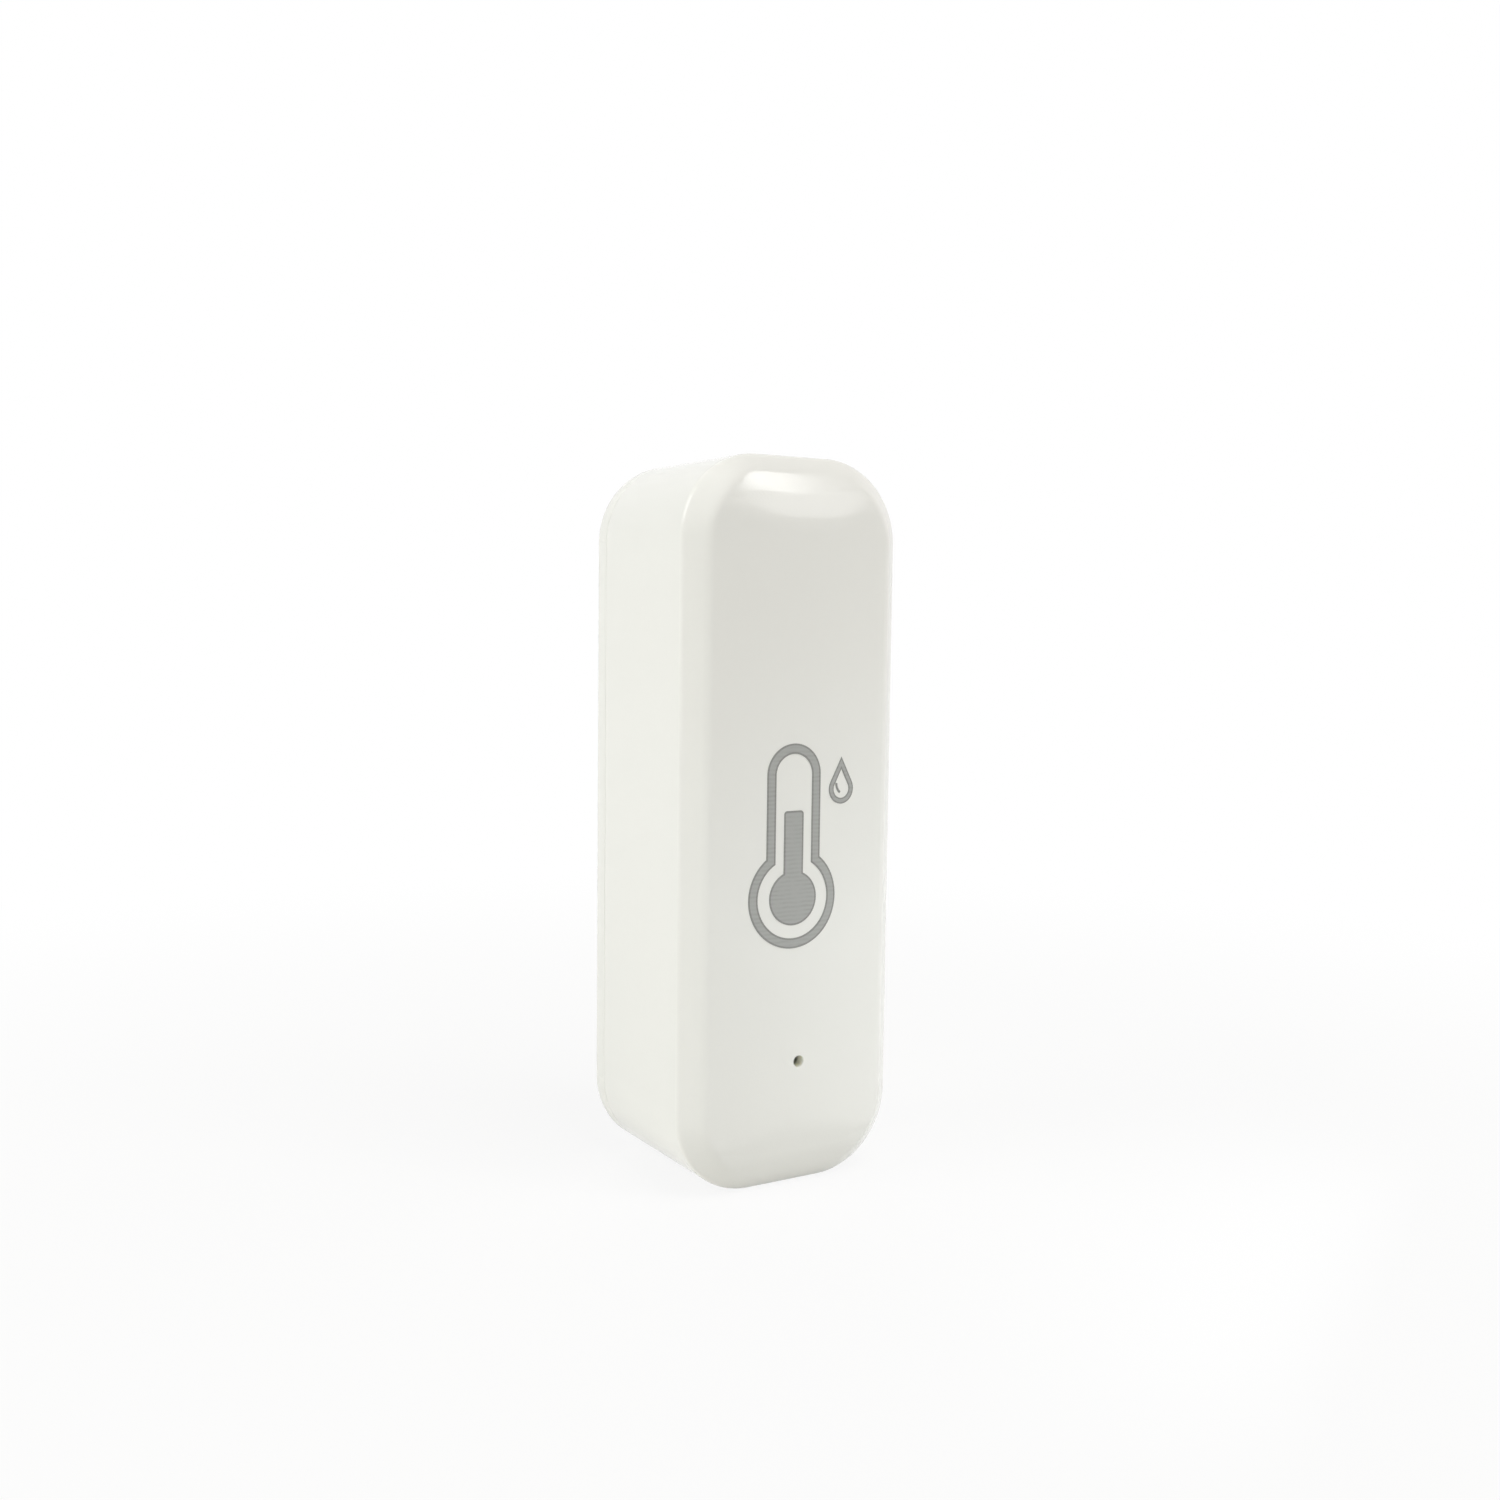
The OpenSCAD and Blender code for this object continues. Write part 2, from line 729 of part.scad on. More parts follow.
// Puts a cell's part, drawn with its flat end at 0 and its nub up, into its place in the tray
module in_bay(first) {
    if (first)
        translate([-cell_x, cell_axis, cell_a_z]) children();
    else
        translate([cell_x, cell_axis, cell_b_z + cell_l]) rotate([180, 0, 0]) children();
}

module ring(outer, inner, low, high) {
    translate([0, 0, low]) difference() {
        cylinder(h = high - low, r = outer);
        translate([0, 0, -cut]) cylinder(h = high - low + 2 * cut, r = inner);
    }
}

module can() {
    difference() {
        cylinder(h = body_l, r = can_r);
        translate([0, 0, body_l - end_recess]) cylinder(h = end_recess + cut, r = seal_r);
    }
}

module cap() {
    translate([0, 0, body_l - end_recess]) {
        cylinder(h = cap_t, r = cap_r);
        cylinder(h = end_recess + nub_h, r = nub_d / 2);
    }
}

module seal() {
    ring(seal_r, cap_r, body_l - end_recess, body_l - end_recess + seal_t);
}

module sleeve() {
    ring(cell_r, can_r, 0, body_l);
    ring(cell_r, can_r - sleeve_lip, body_l, body_l + sleeve_t);
    ring(cell_r, can_r - sleeve_lip, -sleeve_t, 0);
}

module cell_a_can() { color("silver") placed() in_bay(true) can(); }
module cell_a_cap() { color("gainsboro") placed() in_bay(true) cap(); }
module cell_a_seal() { color("black") placed() in_bay(true) seal(); }
module cell_a_sleeve() { color("slategray") placed() in_bay(true) sleeve(); }
module cell_b_can() { color("silver") placed() in_bay(false) can(); }
module cell_b_cap() { color("gainsboro") placed() in_bay(false) cap(); }
module cell_b_seal() { color("black") placed() in_bay(false) seal(); }
module cell_b_sleeve() { color("slategray") placed() in_bay(false) sleeve(); }

module case_screws() {
    slot = head_d / 6;
    color("silver") placed() for (sx = [-1, 1]) difference() {
        union() {
            rod(sx * screw_x, screw_z, screw_d / 2, screw_tip, flange_d);
            rod(sx * screw_x, screw_z, head_d / 2, flange_d, flange_d + head_h);
        }
        for (size = [[slot, 4 * slot], [4 * slot, slot]])
            translate([sx * screw_x - size[0] / 2, flange_d + head_h / 2, screw_z - size[1] / 2])
                cube([size[0], head_h, size[1]]);
    }
}

module storage_capacitor() {
    color("darkorange") placed() on_board(capacitor);
}

module power_inductor() {
    foot_h = inductor[4] / 4;
    color("gray") placed() {
        on_board([inductor[0], inductor[1], inductor[2], inductor[3], foot_h]);
        rod(inductor[0], inductor[1], inductor[2] / 2, board_front - inductor[4], board_front - foot_h);
    }
}

module crystal_can() {
    color("silver") placed() on_board(crystal);
}

module chip_parts() {
    color("saddlebrown") placed() for (spot = chips) on_board(spot);
}

// Lays a flat sign on the crowned front as a thin print
module printed() {
    intersection() {
        slab(-cut, crown + cut) children();
        difference() {
            crown_block(-print_t);
            crown_block(0);
        }
    }
}

module thermometer_form(inset) {
    translate([thermo_x, bulb_z]) circle(bulb_r - inset);
    translate([thermo_x - tube_r + inset, bulb_z]) square([2 * (tube_r - inset), tube_top - tube_r - bulb_z]);
    translate([thermo_x, tube_top - tube_r]) circle(tube_r - inset);
}

module thermometer_mark() {
    color("darkgray") placed() printed() {
        difference() {
            thermometer_form(0);
            thermometer_form(line_w);
        }
        translate([thermo_x, bulb_z]) circle(ball_r);
        translate([thermo_x - column_r, bulb_z]) square([2 * column_r, column_top - bulb_z]);
    }
}

// A drop is a round foot with two straight flanks that meet in a tip
module drop_form(inset) {
    r = drop_r - inset;
    middle = drop_z + drop_r;
    slope = asin(drop_r / (drop_h - drop_r));
    tip = drop_z + drop_h - inset / sin(slope);
    turn = (180 + 2 * slope) / drop_steps;
    foot = [
        for (i = [0:drop_steps])
            let (a = 180 - slope + i * turn)
            [drop_x + r * cos(a), middle + r * sin(a)]
    ];
    polygon(concat([[drop_x, tip]], foot));
}

module drop_mark() {
    color("darkgray") placed() printed() difference() {
        drop_form(0);
        drop_form(drop_line);
    }
}

front_shell();
back_cover();
adhesive_pad();
battery_tray();
main_board();
radio_board();
radio_shield();
radio_antenna();
humidity_sensor();
sensor_membrane();
switch_base();
switch_frame();
switch_dome();
reset_plunger();
status_led();
positive_plate();
negative_plate();
bridge_plate();
negative_spring();
bridge_spring();
cell_a_can();
cell_a_cap();
cell_a_seal();
cell_a_sleeve();
cell_b_can();
cell_b_cap();
cell_b_seal();
cell_b_sleeve();
case_screws();
storage_capacitor();
power_inductor();
crystal_can();
chip_parts();
thermometer_mark();
drop_mark();
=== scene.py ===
# %% [markdown]
# # A small temperature and humidity sensor
# The real thing is a white moulded bar that stands on a shelf or sticks to a wall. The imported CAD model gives
# every piece its size, place and motion. This lesson adds what a camera sees: softened edges, moulded grain,
# printed signs, wound springs and the light of a plain studio.

# %% Load the frame
import math

import bmesh
import bpy
from bmesh.types import BMEdge, BMFace, BMVert
from mathutils import Matrix, Vector


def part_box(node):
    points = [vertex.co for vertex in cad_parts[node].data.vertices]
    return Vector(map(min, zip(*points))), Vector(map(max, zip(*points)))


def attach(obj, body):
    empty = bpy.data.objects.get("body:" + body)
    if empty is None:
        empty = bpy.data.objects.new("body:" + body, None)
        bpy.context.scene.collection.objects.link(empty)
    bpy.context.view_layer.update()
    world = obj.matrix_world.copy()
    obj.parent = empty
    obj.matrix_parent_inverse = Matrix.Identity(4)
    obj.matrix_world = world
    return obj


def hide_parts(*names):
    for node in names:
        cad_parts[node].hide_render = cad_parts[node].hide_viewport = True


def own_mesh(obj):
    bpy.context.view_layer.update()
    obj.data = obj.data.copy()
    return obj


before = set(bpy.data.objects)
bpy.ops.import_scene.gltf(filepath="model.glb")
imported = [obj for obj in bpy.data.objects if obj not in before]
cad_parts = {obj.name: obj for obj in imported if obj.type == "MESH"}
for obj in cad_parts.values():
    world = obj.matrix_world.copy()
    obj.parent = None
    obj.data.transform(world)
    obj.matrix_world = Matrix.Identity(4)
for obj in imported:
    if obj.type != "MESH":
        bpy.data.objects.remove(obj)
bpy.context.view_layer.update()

# %% [markdown]
# ## One scale for modelling
# A bar of 72 mm is small in metres, and the mesh operators work best on numbers near 1. So every piece is
# modelled in millimetres, with y as the depth behind the crest of the front, and one matrix takes the
# finished mesh to the frame.

# %% Sizes read from the frame
MM = 0.001
shell_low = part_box("front_shell")[0]
to_frame = Matrix.Translation((0, shell_low.y, 0)) @ Matrix.Scale(MM, 4)
to_model = to_frame.inverted()


def span(node):
    """Lowest and highest corner of a CAD node, in modelling millimetres."""
    low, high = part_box(node)
    return to_model @ low, to_model @ high


case_low, case_high = span("front_shell")
cover_low, cover_high = span("back_cover")
case_w = case_high.x - case_low.x
case_h = case_high.z - case_low.z
part_d = case_high.y
case_d = cover_high.y
print(f"case {case_w:.2f} x {case_d:.2f} x {case_h:.2f} mm, parting line at {part_d:.2f} mm")

# %% [markdown]
# ## The camera
# The photograph was taken from close by, a little to the left and slightly above the middle. Four straight
# edges and the rounded outline of the bar fix the distance and the turn, so the camera is built from those.
# A camera could also track an empty, but three written-out axes keep its small roll.

# %% Place the camera
FRAME_PX = 1500
SENSOR = 36
focal_px = 1570.5
view_distance = 161.45
view_turn = 0.54426
view_tilt = 0.07864
view_roll = -0.01177
view_aside = -0.238
view_rise = -6.849
bar_middle = Vector((0, case_d / 2, case_h / 2))

turn = (
    Matrix.Rotation(-view_roll, 3, "Y")
    @ Matrix.Rotation(view_tilt, 3, "X")
    @ Matrix.Rotation(view_turn, 3, "Z")
)
right, forward, up = (turn.transposed() @ Vector(axis) for axis in ((1, 0, 0), (0, 1, 0), (0, 0, 1)))
eye = bar_middle - right * view_aside - forward * view_distance - up * view_rise


def add_object(name, data):
    """Puts data into the scene as an object."""
    thing = bpy.data.objects.new(name, data)
    bpy.context.scene.collection.objects.link(thing)
    return thing


camera_data = bpy.data.cameras.new("camera")
camera_data.sensor_width = SENSOR
camera_data.lens = focal_px / FRAME_PX * SENSOR
camera_data.clip_start = 0.01
camera = add_object("camera", camera_data)
axes = Matrix((right, up, -forward)).transposed().to_4x4()
camera.matrix_world = Matrix.Translation(to_frame @ eye) @ axes
bpy.context.scene.camera = camera
print("lens", round(camera_data.lens, 2), "mm, eye", [round(x, 1) for x in eye])

# %% [markdown]
# ## Finishes
# A finish is a material whose pattern reads Object coordinates, so it stays on the piece wherever the piece
# moves. This small class keeps the recipes below short: noise, cells and lines make a pattern, ramp and blend
# shape it, and tint, gloss and relief lay it on the surface.

# %% A helper for finishes
NOISE_SPAN = (0.3, 0.7)
WAVE_LENGTH = math.tau / 20


def ramp_node(tree, value, low, high, to_low=0.0, to_high=1.0):
    """A node that maps one range of numbers onto another."""
    node = tree.nodes.new("ShaderNodeMapRange")
    numbers = {"From Min": low, "From Max": high, "To Min": to_low, "To Max": to_high}
    for socket, number in numbers.items():
        node.inputs[socket].default_value = number
    tree.links.new(value, node.inputs["Value"])
    return node


class Finish:
    """A procedural material, with patterns sized in millimetres on the piece."""

    def __init__(self, name, colour, roughness, metallic=0.0):
        self.material = bpy.data.materials.new(name)
        self.material.use_nodes = True
        self.tree = self.material.node_tree
        self.nodes = self.tree.nodes
        self.links = self.tree.links
        self.shader = self.nodes["Principled BSDF"]
        self.set("Base Color", (*colour, 1))
        self.set("Roughness", roughness)
        self.set("Metallic", metallic)
        self.coords = self.nodes.new("ShaderNodeTexCoord").outputs["Object"]

    def set(self, socket, value):
        self.shader.inputs[socket].default_value = value

    def texture(self, kind, scale, stretch=(1, 1, 1)):
        mapping = self.nodes.new("ShaderNodeMapping")
        mapping.inputs["Scale"].default_value = stretch
        self.links.new(self.coords, mapping.inputs["Vector"])
        node = self.nodes.new(f"ShaderNodeTex{kind}")
        node.inputs["Scale"].default_value = scale
        self.links.new(mapping.outputs["Vector"], node.inputs["Vector"])
        return node

    def noise(self, size, detail, stretch=(1, 1, 1)):
        node = self.texture("Noise", 1 / (size * MM), stretch)
        node.inputs["Detail"].default_value = detail
        return node.outputs["Fac"]

    def cells(self, size):
        return self.texture("Voronoi", 1 / (size * MM)).outputs["Distance"]

    def lines(self, pitch, direction, distortion):
        node = self.texture("Wave", WAVE_LENGTH / (pitch * MM))
        node.bands_direction = direction
        node.inputs["Distortion"].default_value = distortion
        node.inputs["Detail Scale"].default_value = 1.5
        return node.outputs["Fac"]

    def ramp(self, value, *numbers):
        return ramp_node(self.tree, value, *numbers).outputs["Result"]

    def blend(self, factor, first, second):
        node = self.nodes.new("ShaderNodeMix")
        node.data_type = "RGBA"
        self.links.new(factor, node.inputs["Factor"])
        for socket, colour in ((node.inputs[6], first), (node.inputs[7], second)):
            if isinstance(colour, tuple):
                socket.default_value = (*colour, 1)
            else:
                self.links.new(colour, socket)
        return node.outputs[2]

    def tint(self, factor, first, second):
        """Mixes two colours into the base colour."""
        self.links.new(self.blend(factor, first, second), self.shader.inputs["Base Color"])

    def gloss(self, size, detail, smoothest, roughest):
        """Lets the roughness drift between two values in patches of a size."""
        drift = self.ramp(self.noise(size, detail), *NOISE_SPAN, smoothest, roughest)
        self.links.new(drift, self.shader.inputs["Roughness"])

    def relief(self, height, depth):
        """Adds a bump of a depth on top of those before it."""
        node = self.nodes.new("ShaderNodeBump")
        node.inputs["Distance"].default_value = depth * MM
        self.links.new(height, node.inputs["Height"])
        normal = self.shader.inputs["Normal"]
        if normal.is_linked:
            self.links.new(normal.links[0].from_socket, node.inputs["Normal"])
        self.links.new(node.outputs["Normal"], normal)


# %% [markdown]
# ## White case plastic
# The case is satin white plastic from a finely eroded mould: smooth from afar, with a grain that breaks up
# the lower edge of a highlight. A flat white would look like paper, so the colour drifts a little, the gloss
# drifts with it, and two sizes of grain give the sparkle. Light also gets into the thin wall round the pin
# hole, so the hole has a finish of its own that lets light through under the skin. The whole case could have
# it, but it would render far more slowly.

# %% Case plastic
shine_depth = 1.3


def case_plastic(name, colour, shade, shine_through=0.0):
    finish = Finish(name, colour, 0.105)
    finish.tint(finish.ramp(finish.noise(26, 0), *NOISE_SPAN), colour, shade)
    finish.gloss(5, 1, 0.1, 0.14)
    finish.relief(finish.noise(0.22, 1), 0.005)
    finish.relief(finish.noise(2.2, 0), 0.0012)
    finish.set("IOR", 1.5)
    finish.set("Subsurface Weight", shine_through)
    finish.set("Subsurface Radius", (1, 0.95, 0.8))
    finish.set("Subsurface Scale", shine_depth * MM)
    return finish.material


white_case = case_plastic("case_white", (0.885, 0.883, 0.828), (0.881, 0.875, 0.818))
# The hole's copy of the plastic is a little warmer in colour than the case: a painted warm glow, on top of the
# real light that shines through the thin wall.
hole_white = case_plastic("hole_white", (0.885, 0.883, 0.8), (0.881, 0.875, 0.79), 1.0)
print("finishes", white_case.name, hole_white.name)

# %% [markdown]
# ## From a bmesh to a piece
# Each piece ends the same way: merge doubles, turn the faces outwards, go to the frame, shade smooth except
# at real edges, then tell the frame which body carries it and which CAD nodes it stands for. Smooth shading
# bends the light on a large flat face next to a small bevel, so a Weighted Normal modifier lets the large
# face win.

# %% A helper that finishes a piece
SHARP_ANGLE = math.radians(32)
MERGE = 1e-5


def as_mesh(bm, name):
    """Hands a bmesh over to a new mesh."""
    mesh = bpy.data.meshes.new(name)
    bm.to_mesh(mesh)
    bm.free()
    return mesh


def make_piece(bm, name, finishes, body, stands_for=()):
    """Makes a bmesh a piece that rides on a body and may stand for CAD nodes."""
    bmesh.ops.remove_doubles(bm, verts=bm.verts, dist=MERGE)
    bmesh.ops.recalc_face_normals(bm, faces=bm.faces)
    bm.transform(to_frame)
    mesh = as_mesh(bm, name)
    mesh.shade_smooth()
    mesh.set_sharp_from_angle(angle=SHARP_ANGLE)
    for finish in finishes:
        mesh.materials.append(finish)
    piece = add_object(name, mesh)
    piece.modifiers.new("even_shading", "WEIGHTED_NORMAL").keep_sharp = True
    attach(piece, body)
    if stands_for:
        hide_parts(*stands_for)
    print(name, "faces", len(mesh.polygons))
    return piece


# %% [markdown]
# ## Plates, turned parts and cuts
# Most of the bar is flat plates with round corners and turned parts. A plate starts as one four-cornered face
# whose corners are bevelled into arcs. A turned part is a half profile that is spun once round. Holes and
# bosses are joined or cut with the exact Boolean modifier, because they meet a curved wall.

# %% Helpers for plates
CORNER_STEPS = 24


def only(kind, geom):
    """The vertices, edges or faces in what an operator made."""
    return [item for item in geom if isinstance(item, kind)]


def plate(w, h, r, middle=(0, 0, 0), steps=CORNER_STEPS):
    """One face with round corners, upright and facing the front."""
    bm = bmesh.new()
    spots = ((-w / 2, -h / 2), (w / 2, -h / 2), (w / 2, h / 2), (-w / 2, h / 2))
    corners = [bm.verts.new((x, 0, z)) for x, z in spots]
    bm.faces.new(corners)
    bmesh.ops.bevel(bm, geom=corners, offset=r, segments=steps, profile=0.5, affect="VERTICES", material=-1)
    bmesh.ops.translate(bm, verts=bm.verts, vec=middle)
    bm.faces.ensure_lookup_table()
    return bm


def push(bm, face, shift):
    """Extrudes a face by a shift and hands back the moved face."""
    made = bmesh.ops.extrude_face_region(bm, geom=[face])["geom"]
    bmesh.ops.translate(bm, verts=only(BMVert, made), vec=shift)
    bmesh.ops.delete(bm, geom=[face], context="FACES_ONLY")
    bm.normal_update()
    return only(BMFace, made)[0]


def draw_in(bm, face, width):
    """Insets a face by a width and hands back the inner face."""
    bm.normal_update()
    bmesh.ops.inset_region(bm, faces=[face], thickness=width, use_even_offset=True, use_boundary=True)
    return face


def soften(bm, edges, width, steps=2):
    bmesh.ops.bevel(
        bm, geom=list(edges), offset=width, segments=steps, profile=0.5, affect="EDGES", material=-1,
        clamp_overlap=True,
    )


def slab(w, h, r, near, far, middle=(0, 0), steps=CORNER_STEPS):
    """A closed plate with round corners between two depths."""
    bm = plate(w, h, r, (middle[0], near, middle[1]), steps)
    face = bm.faces[0]
    back = bm.faces.new([bm.verts.new(v.co) for v in reversed(face.verts)])
    bmesh.ops.translate(bm, verts=list(back.verts), vec=(0, far - near, 0))
    rims = [list(f.edges) for f in (face, back)]
    bmesh.ops.bridge_loops(bm, edges=rims[0] + rims[1])
    return bm


# %% Helpers for turned parts and cuts
TURN_STEPS = 48
PROFILE_STEPS = 5


def turned(profile, middle=(0, 0, 0), along="Z", steps=TURN_STEPS):
    """Spins a half profile of (radius, height) points once round; a third number rounds that corner."""
    bm = bmesh.new()
    line = [bm.verts.new((point[0], 0, point[1])) for point in profile]
    for pair in zip(line, line[1:]):
        bm.edges.new(pair)
    for v, point in zip(line, profile):
        if len(point) == 3:
            bmesh.ops.bevel(
                bm, geom=[v], offset=point[2], segments=PROFILE_STEPS, profile=0.5, affect="VERTICES",
                material=-1,
            )
    bmesh.ops.spin(
        bm, geom=[*bm.verts, *bm.edges], cent=(0, 0, 0), axis=(0, 0, 1), angle=math.tau, steps=steps,
        use_merge=True,
    )
    bmesh.ops.remove_doubles(bm, verts=bm.verts, dist=MERGE)
    bmesh.ops.recalc_face_normals(bm, faces=bm.faces)
    if along == "Y":
        bmesh.ops.rotate(bm, verts=bm.verts, matrix=Matrix.Rotation(-math.pi / 2, 3, "X"))
    bmesh.ops.translate(bm, verts=bm.verts, vec=middle)
    return bm


def gathered(parts):
    """Joins several bmeshes into one."""
    whole = bmesh.new()
    for part in parts:
        mesh = as_mesh(part, "part")
        whole.from_mesh(mesh)
        bpy.data.meshes.remove(mesh)
    return whole


def carved(bm, tool, operation):
    """Joins or cuts a bmesh with another by the exact Boolean modifier."""
    pair = [add_object("carving", as_mesh(part, "carving")) for part in (bm, tool)]
    cut = pair[0].modifiers.new("cut", "BOOLEAN")
    cut.operation = operation
    cut.solver = "EXACT"
    cut.object = pair[1]
    ready = pair[0].evaluated_get(bpy.context.evaluated_depsgraph_get())
    done = bmesh.new()
    done.from_mesh(ready.to_mesh())
    for thing in pair:
        mesh = thing.data
        bpy.data.objects.remove(thing)
        bpy.data.meshes.remove(mesh)
    return done


# %% [markdown]
# ## The shape of the front
# The front is not flat. It is crowned across its width, rolls back at the top and the bottom, and a sloped
# band runs round it just inside the outline. Each of the three has a depth at every point, and the deepest
# one wins. A soft maximum instead of a plain one rounds the lines where they meet, as a mould maker would.

# %% Depth of the front skin
corner_r = 8.2
crown = 1.0
band_w = 2.0
band_d = 2.6
end_run = 7.5
end_drop = 2.4
wall = 1.4
roll_blend = 0.7
band_blend = 0.42
crown_r = ((case_w / 2) ** 2 + crown**2) / (2 * crown)
end_r = (end_run**2 + end_drop**2) / (2 * end_drop)
band_foot = crown_r - math.sqrt(crown_r**2 - (case_w / 2 - band_w) ** 2)
band_slope = (band_d - band_foot) / band_w
band_angle = math.atan(band_slope)


def soft_max(a, b, blend):
    near = max(blend - abs(a - b), 0) / max(blend, MERGE)
    return max(a, b) + near**2 * blend / 4


def outline_inset(x, z):
    """How far a point of the front lies inside the rounded outline."""
    across = abs(x) - (case_w / 2 - corner_r)
    along = abs(z - case_h / 2) - (case_h / 2 - corner_r)
    return corner_r - math.hypot(max(across, 0), max(along, 0)) - min(max(across, along), 0)


def rim_depth(skin):
    return band_d + skin * (1 - math.sin(band_angle)) / math.cos(band_angle)


def front_depth(x, z, skin=0.0):
    """Depth of the outer skin, or of the inner one a wall behind it."""
    rise = crown_r - math.sqrt((crown_r - skin) ** 2 - x * x)
    run = max(end_run - min(z, case_h - z), 0)
    roll = end_r - math.sqrt((end_r - skin) ** 2 - min(run, end_r - skin) ** 2)
    band = rim_depth(skin) - band_slope * (outline_inset(x, z) - skin)
    face = soft_max(rise, roll, min(roll_blend, 2 * max(roll - skin, 0)))
    return soft_max(face, band, band_blend)


for name, height in (("middle", case_h / 2), ("top", case_h)):
    print(f"depth at the {name} {front_depth(0, height):.3f} mm")

# %% [markdown]
# ## The front shell
# The shell is a cup: the front skin, four walls, a rim at the parting line and an inner skin. The skin needs
# rings that follow the outline, for the band, and a grid, for the crown. So the plate is inset ring by ring,
# cut by upright and level planes, and then each vertex sinks to the depth that the formula gives. The
# outermost ring is cut only along its straight runs, because a bevel needs edges of even length.

# %% Front skin
CASE_STEPS = 2 * CORNER_STEPS
crest_ring = 0.5
ring_w = 0.25
ring_count = 12
cut_step = 0.8
roll_step = 0.6
plain_step = 2.5
roll_zone = end_run + 2


def cut_grid(bm, faces, xs, zs):
    """Cuts faces by upright planes at xs and level planes at zs."""
    for place, normal in [((x, 0, 0), (1, 0, 0)) for x in xs] + [((0, 0, z), (0, 0, 1)) for z in zs]:
        edges = {e for f in faces for e in f.edges}
        verts = {v for f in faces for v in f.verts}
        made = bmesh.ops.bisect_plane(
            bm, geom=[*faces, *edges, *verts], dist=MERGE, plane_co=place, plane_no=normal
        )
        faces = only(BMFace, made["geom"])
    return faces


def steps_between(low, high, step):
    count = max(int((high - low) / step), 1)
    return [low + (high - low) * i / count for i in range(1, count)]


shell = plate(case_w, case_h, corner_r, (0, 0, case_h / 2), CASE_STEPS)
heart = draw_in(shell, shell.faces[0], crest_ring)
outer_ring = [f for f in shell.faces if f != heart]
for _ in range(ring_count):
    heart = draw_in(shell, heart, ring_w)
upright_cuts = steps_between(-case_w / 2, case_w / 2, cut_step)
roll_cuts = steps_between(0, roll_zone, roll_step)
level_cuts = [*roll_cuts, *steps_between(roll_zone, case_h - roll_zone, plain_step)]
level_cuts += [case_h - z for z in roll_cuts]
straight_x, straight_z = (side / 2 - corner_r - ring_w for side in (case_w, case_h))
outer_ring = cut_grid(
    shell, outer_ring, [x for x in upright_cuts if abs(x) < straight_x],
    [z for z in level_cuts if abs(z - case_h / 2) < straight_z],
)
cut_grid(shell, list(set(shell.faces) - set(outer_ring)), upright_cuts, level_cuts)
for v in shell.verts:
    v.co.y = front_depth(v.co.x, v.co.z)
print("front skin faces", len(shell.faces))

# %% [markdown]
# ## Walls, rim and inner skin
# The open edge of the skin is pulled back to the parting line and closed with one face. That face is inset by
# the wall and pushed forward again, which leaves the rim and the inner walls. The crest gets a small round
# edge, the one that catches the light at the top corner.

# %% Walls, rim and inner skin
crest_round = 0.34
part_round = 0.08
inner_step_x = 1.6
inner_step_z = 2
crest = [e for e in shell.edges if e.is_boundary]
pulled = bmesh.ops.extrude_edge_only(shell, edges=crest)["geom"]
for v in only(BMVert, pulled):
    v.co.y = part_d
lid = bmesh.ops.contextual_create(shell, geom=only(BMEdge, pulled))["faces"][0]
outer_rim = list(lid.edges)
lid = draw_in(shell, lid, wall)
floor = push(shell, lid, (0, rim_depth(wall) - part_d, 0))
inner_cuts = steps_between(-case_w / 2, case_w / 2, inner_step_x), steps_between(0, case_h, inner_step_z)
inside = cut_grid(shell, [floor], *inner_cuts)
for v in {v for f in inside for v in f.verts}:
    v.co.y = front_depth(v.co.x, v.co.z, wall)
soften(shell, [e for e in crest if e.is_valid], crest_round, 4)
soften(shell, [e for e in outer_rim if e.is_valid], part_round, 2)
print("loose or torn edges", sum(not e.is_manifold for e in shell.edges))

# %% [markdown]
# ## What is cut into the shell
# A pin goes through the small round hole in the front and presses the reset switch behind it. Air reaches the
# sensing chip through three slots in the lower end, and a notch in the rim takes a fingernail. Inside stand
# two screw bosses, two posts with pins and the ledge that holds the tray.

# %% Pin hole, air slots and notch
hole_d = 1.1
hole_z = 12.9
hole_flare = 0.07
flare_start = -0.01
slot_w = 1.0
slot_l = 6.0
slot_pitch = 2.6
slot_d = 4.2
slot_over = 0.4
notch_w = 7.0
notch_d = 0.7
notch_r = 0.3
reach = 2.0
flare_r = hole_d / 2 + hole_flare
hole_end = wall + reach / 2


def air_slot(x):
    bm = slab(slot_w, slot_l, slot_w / 2 - MERGE, -reach, wall + slot_over, steps=10)
    bmesh.ops.rotate(bm, verts=bm.verts, matrix=Matrix.Rotation(math.pi / 2, 3, "X"))
    bmesh.ops.translate(bm, verts=bm.verts, vec=(x, slot_d + slot_l / 2, 0))
    return bm


pin_hole = turned(
    [(0, -reach), (flare_r, -reach), (flare_r, flare_start), (hole_d / 2, hole_flare), (hole_d / 2, hole_end),
     (0, hole_end)],
    (0, 0, hole_z), "Y",
)
notch = slab(notch_w, 2 * notch_d, notch_r, part_d - notch_d, part_d + reach, steps=6)
cutters = gathered([pin_hole, notch, *(air_slot(i * slot_pitch) for i in (-1, 0, 1))])
print("faces to cut with", len(cutters.faces))

# %% Bosses, posts and ledge
SIDES = (-1, 1)
board_front, board_back = (corner.y for corner in span("main_board"))
screw_x = 7.0
boss_r = 2.1
boss_foot = 1.0
bore_r = 0.9
bore_foot = 1.9
post_x = 6.5
post_z = 61.0
post_r = 1.6
pin_r = 0.6
pin_short = 0.05
pin_chamfer = 0.1
ledge_w = 6.0
ledge_near = 9.25
ledge_t = 1.2
ledge_r = 0.2
ledge_reach = 1.4
ledge_h = ledge_reach + wall / 2


def tube_boss(x):
    profile = [(bore_r, bore_foot), (boss_r, boss_foot), (boss_r, board_front), (bore_r, board_front)]
    return turned([*profile, profile[0]], (x, 0, hole_z), "Y")


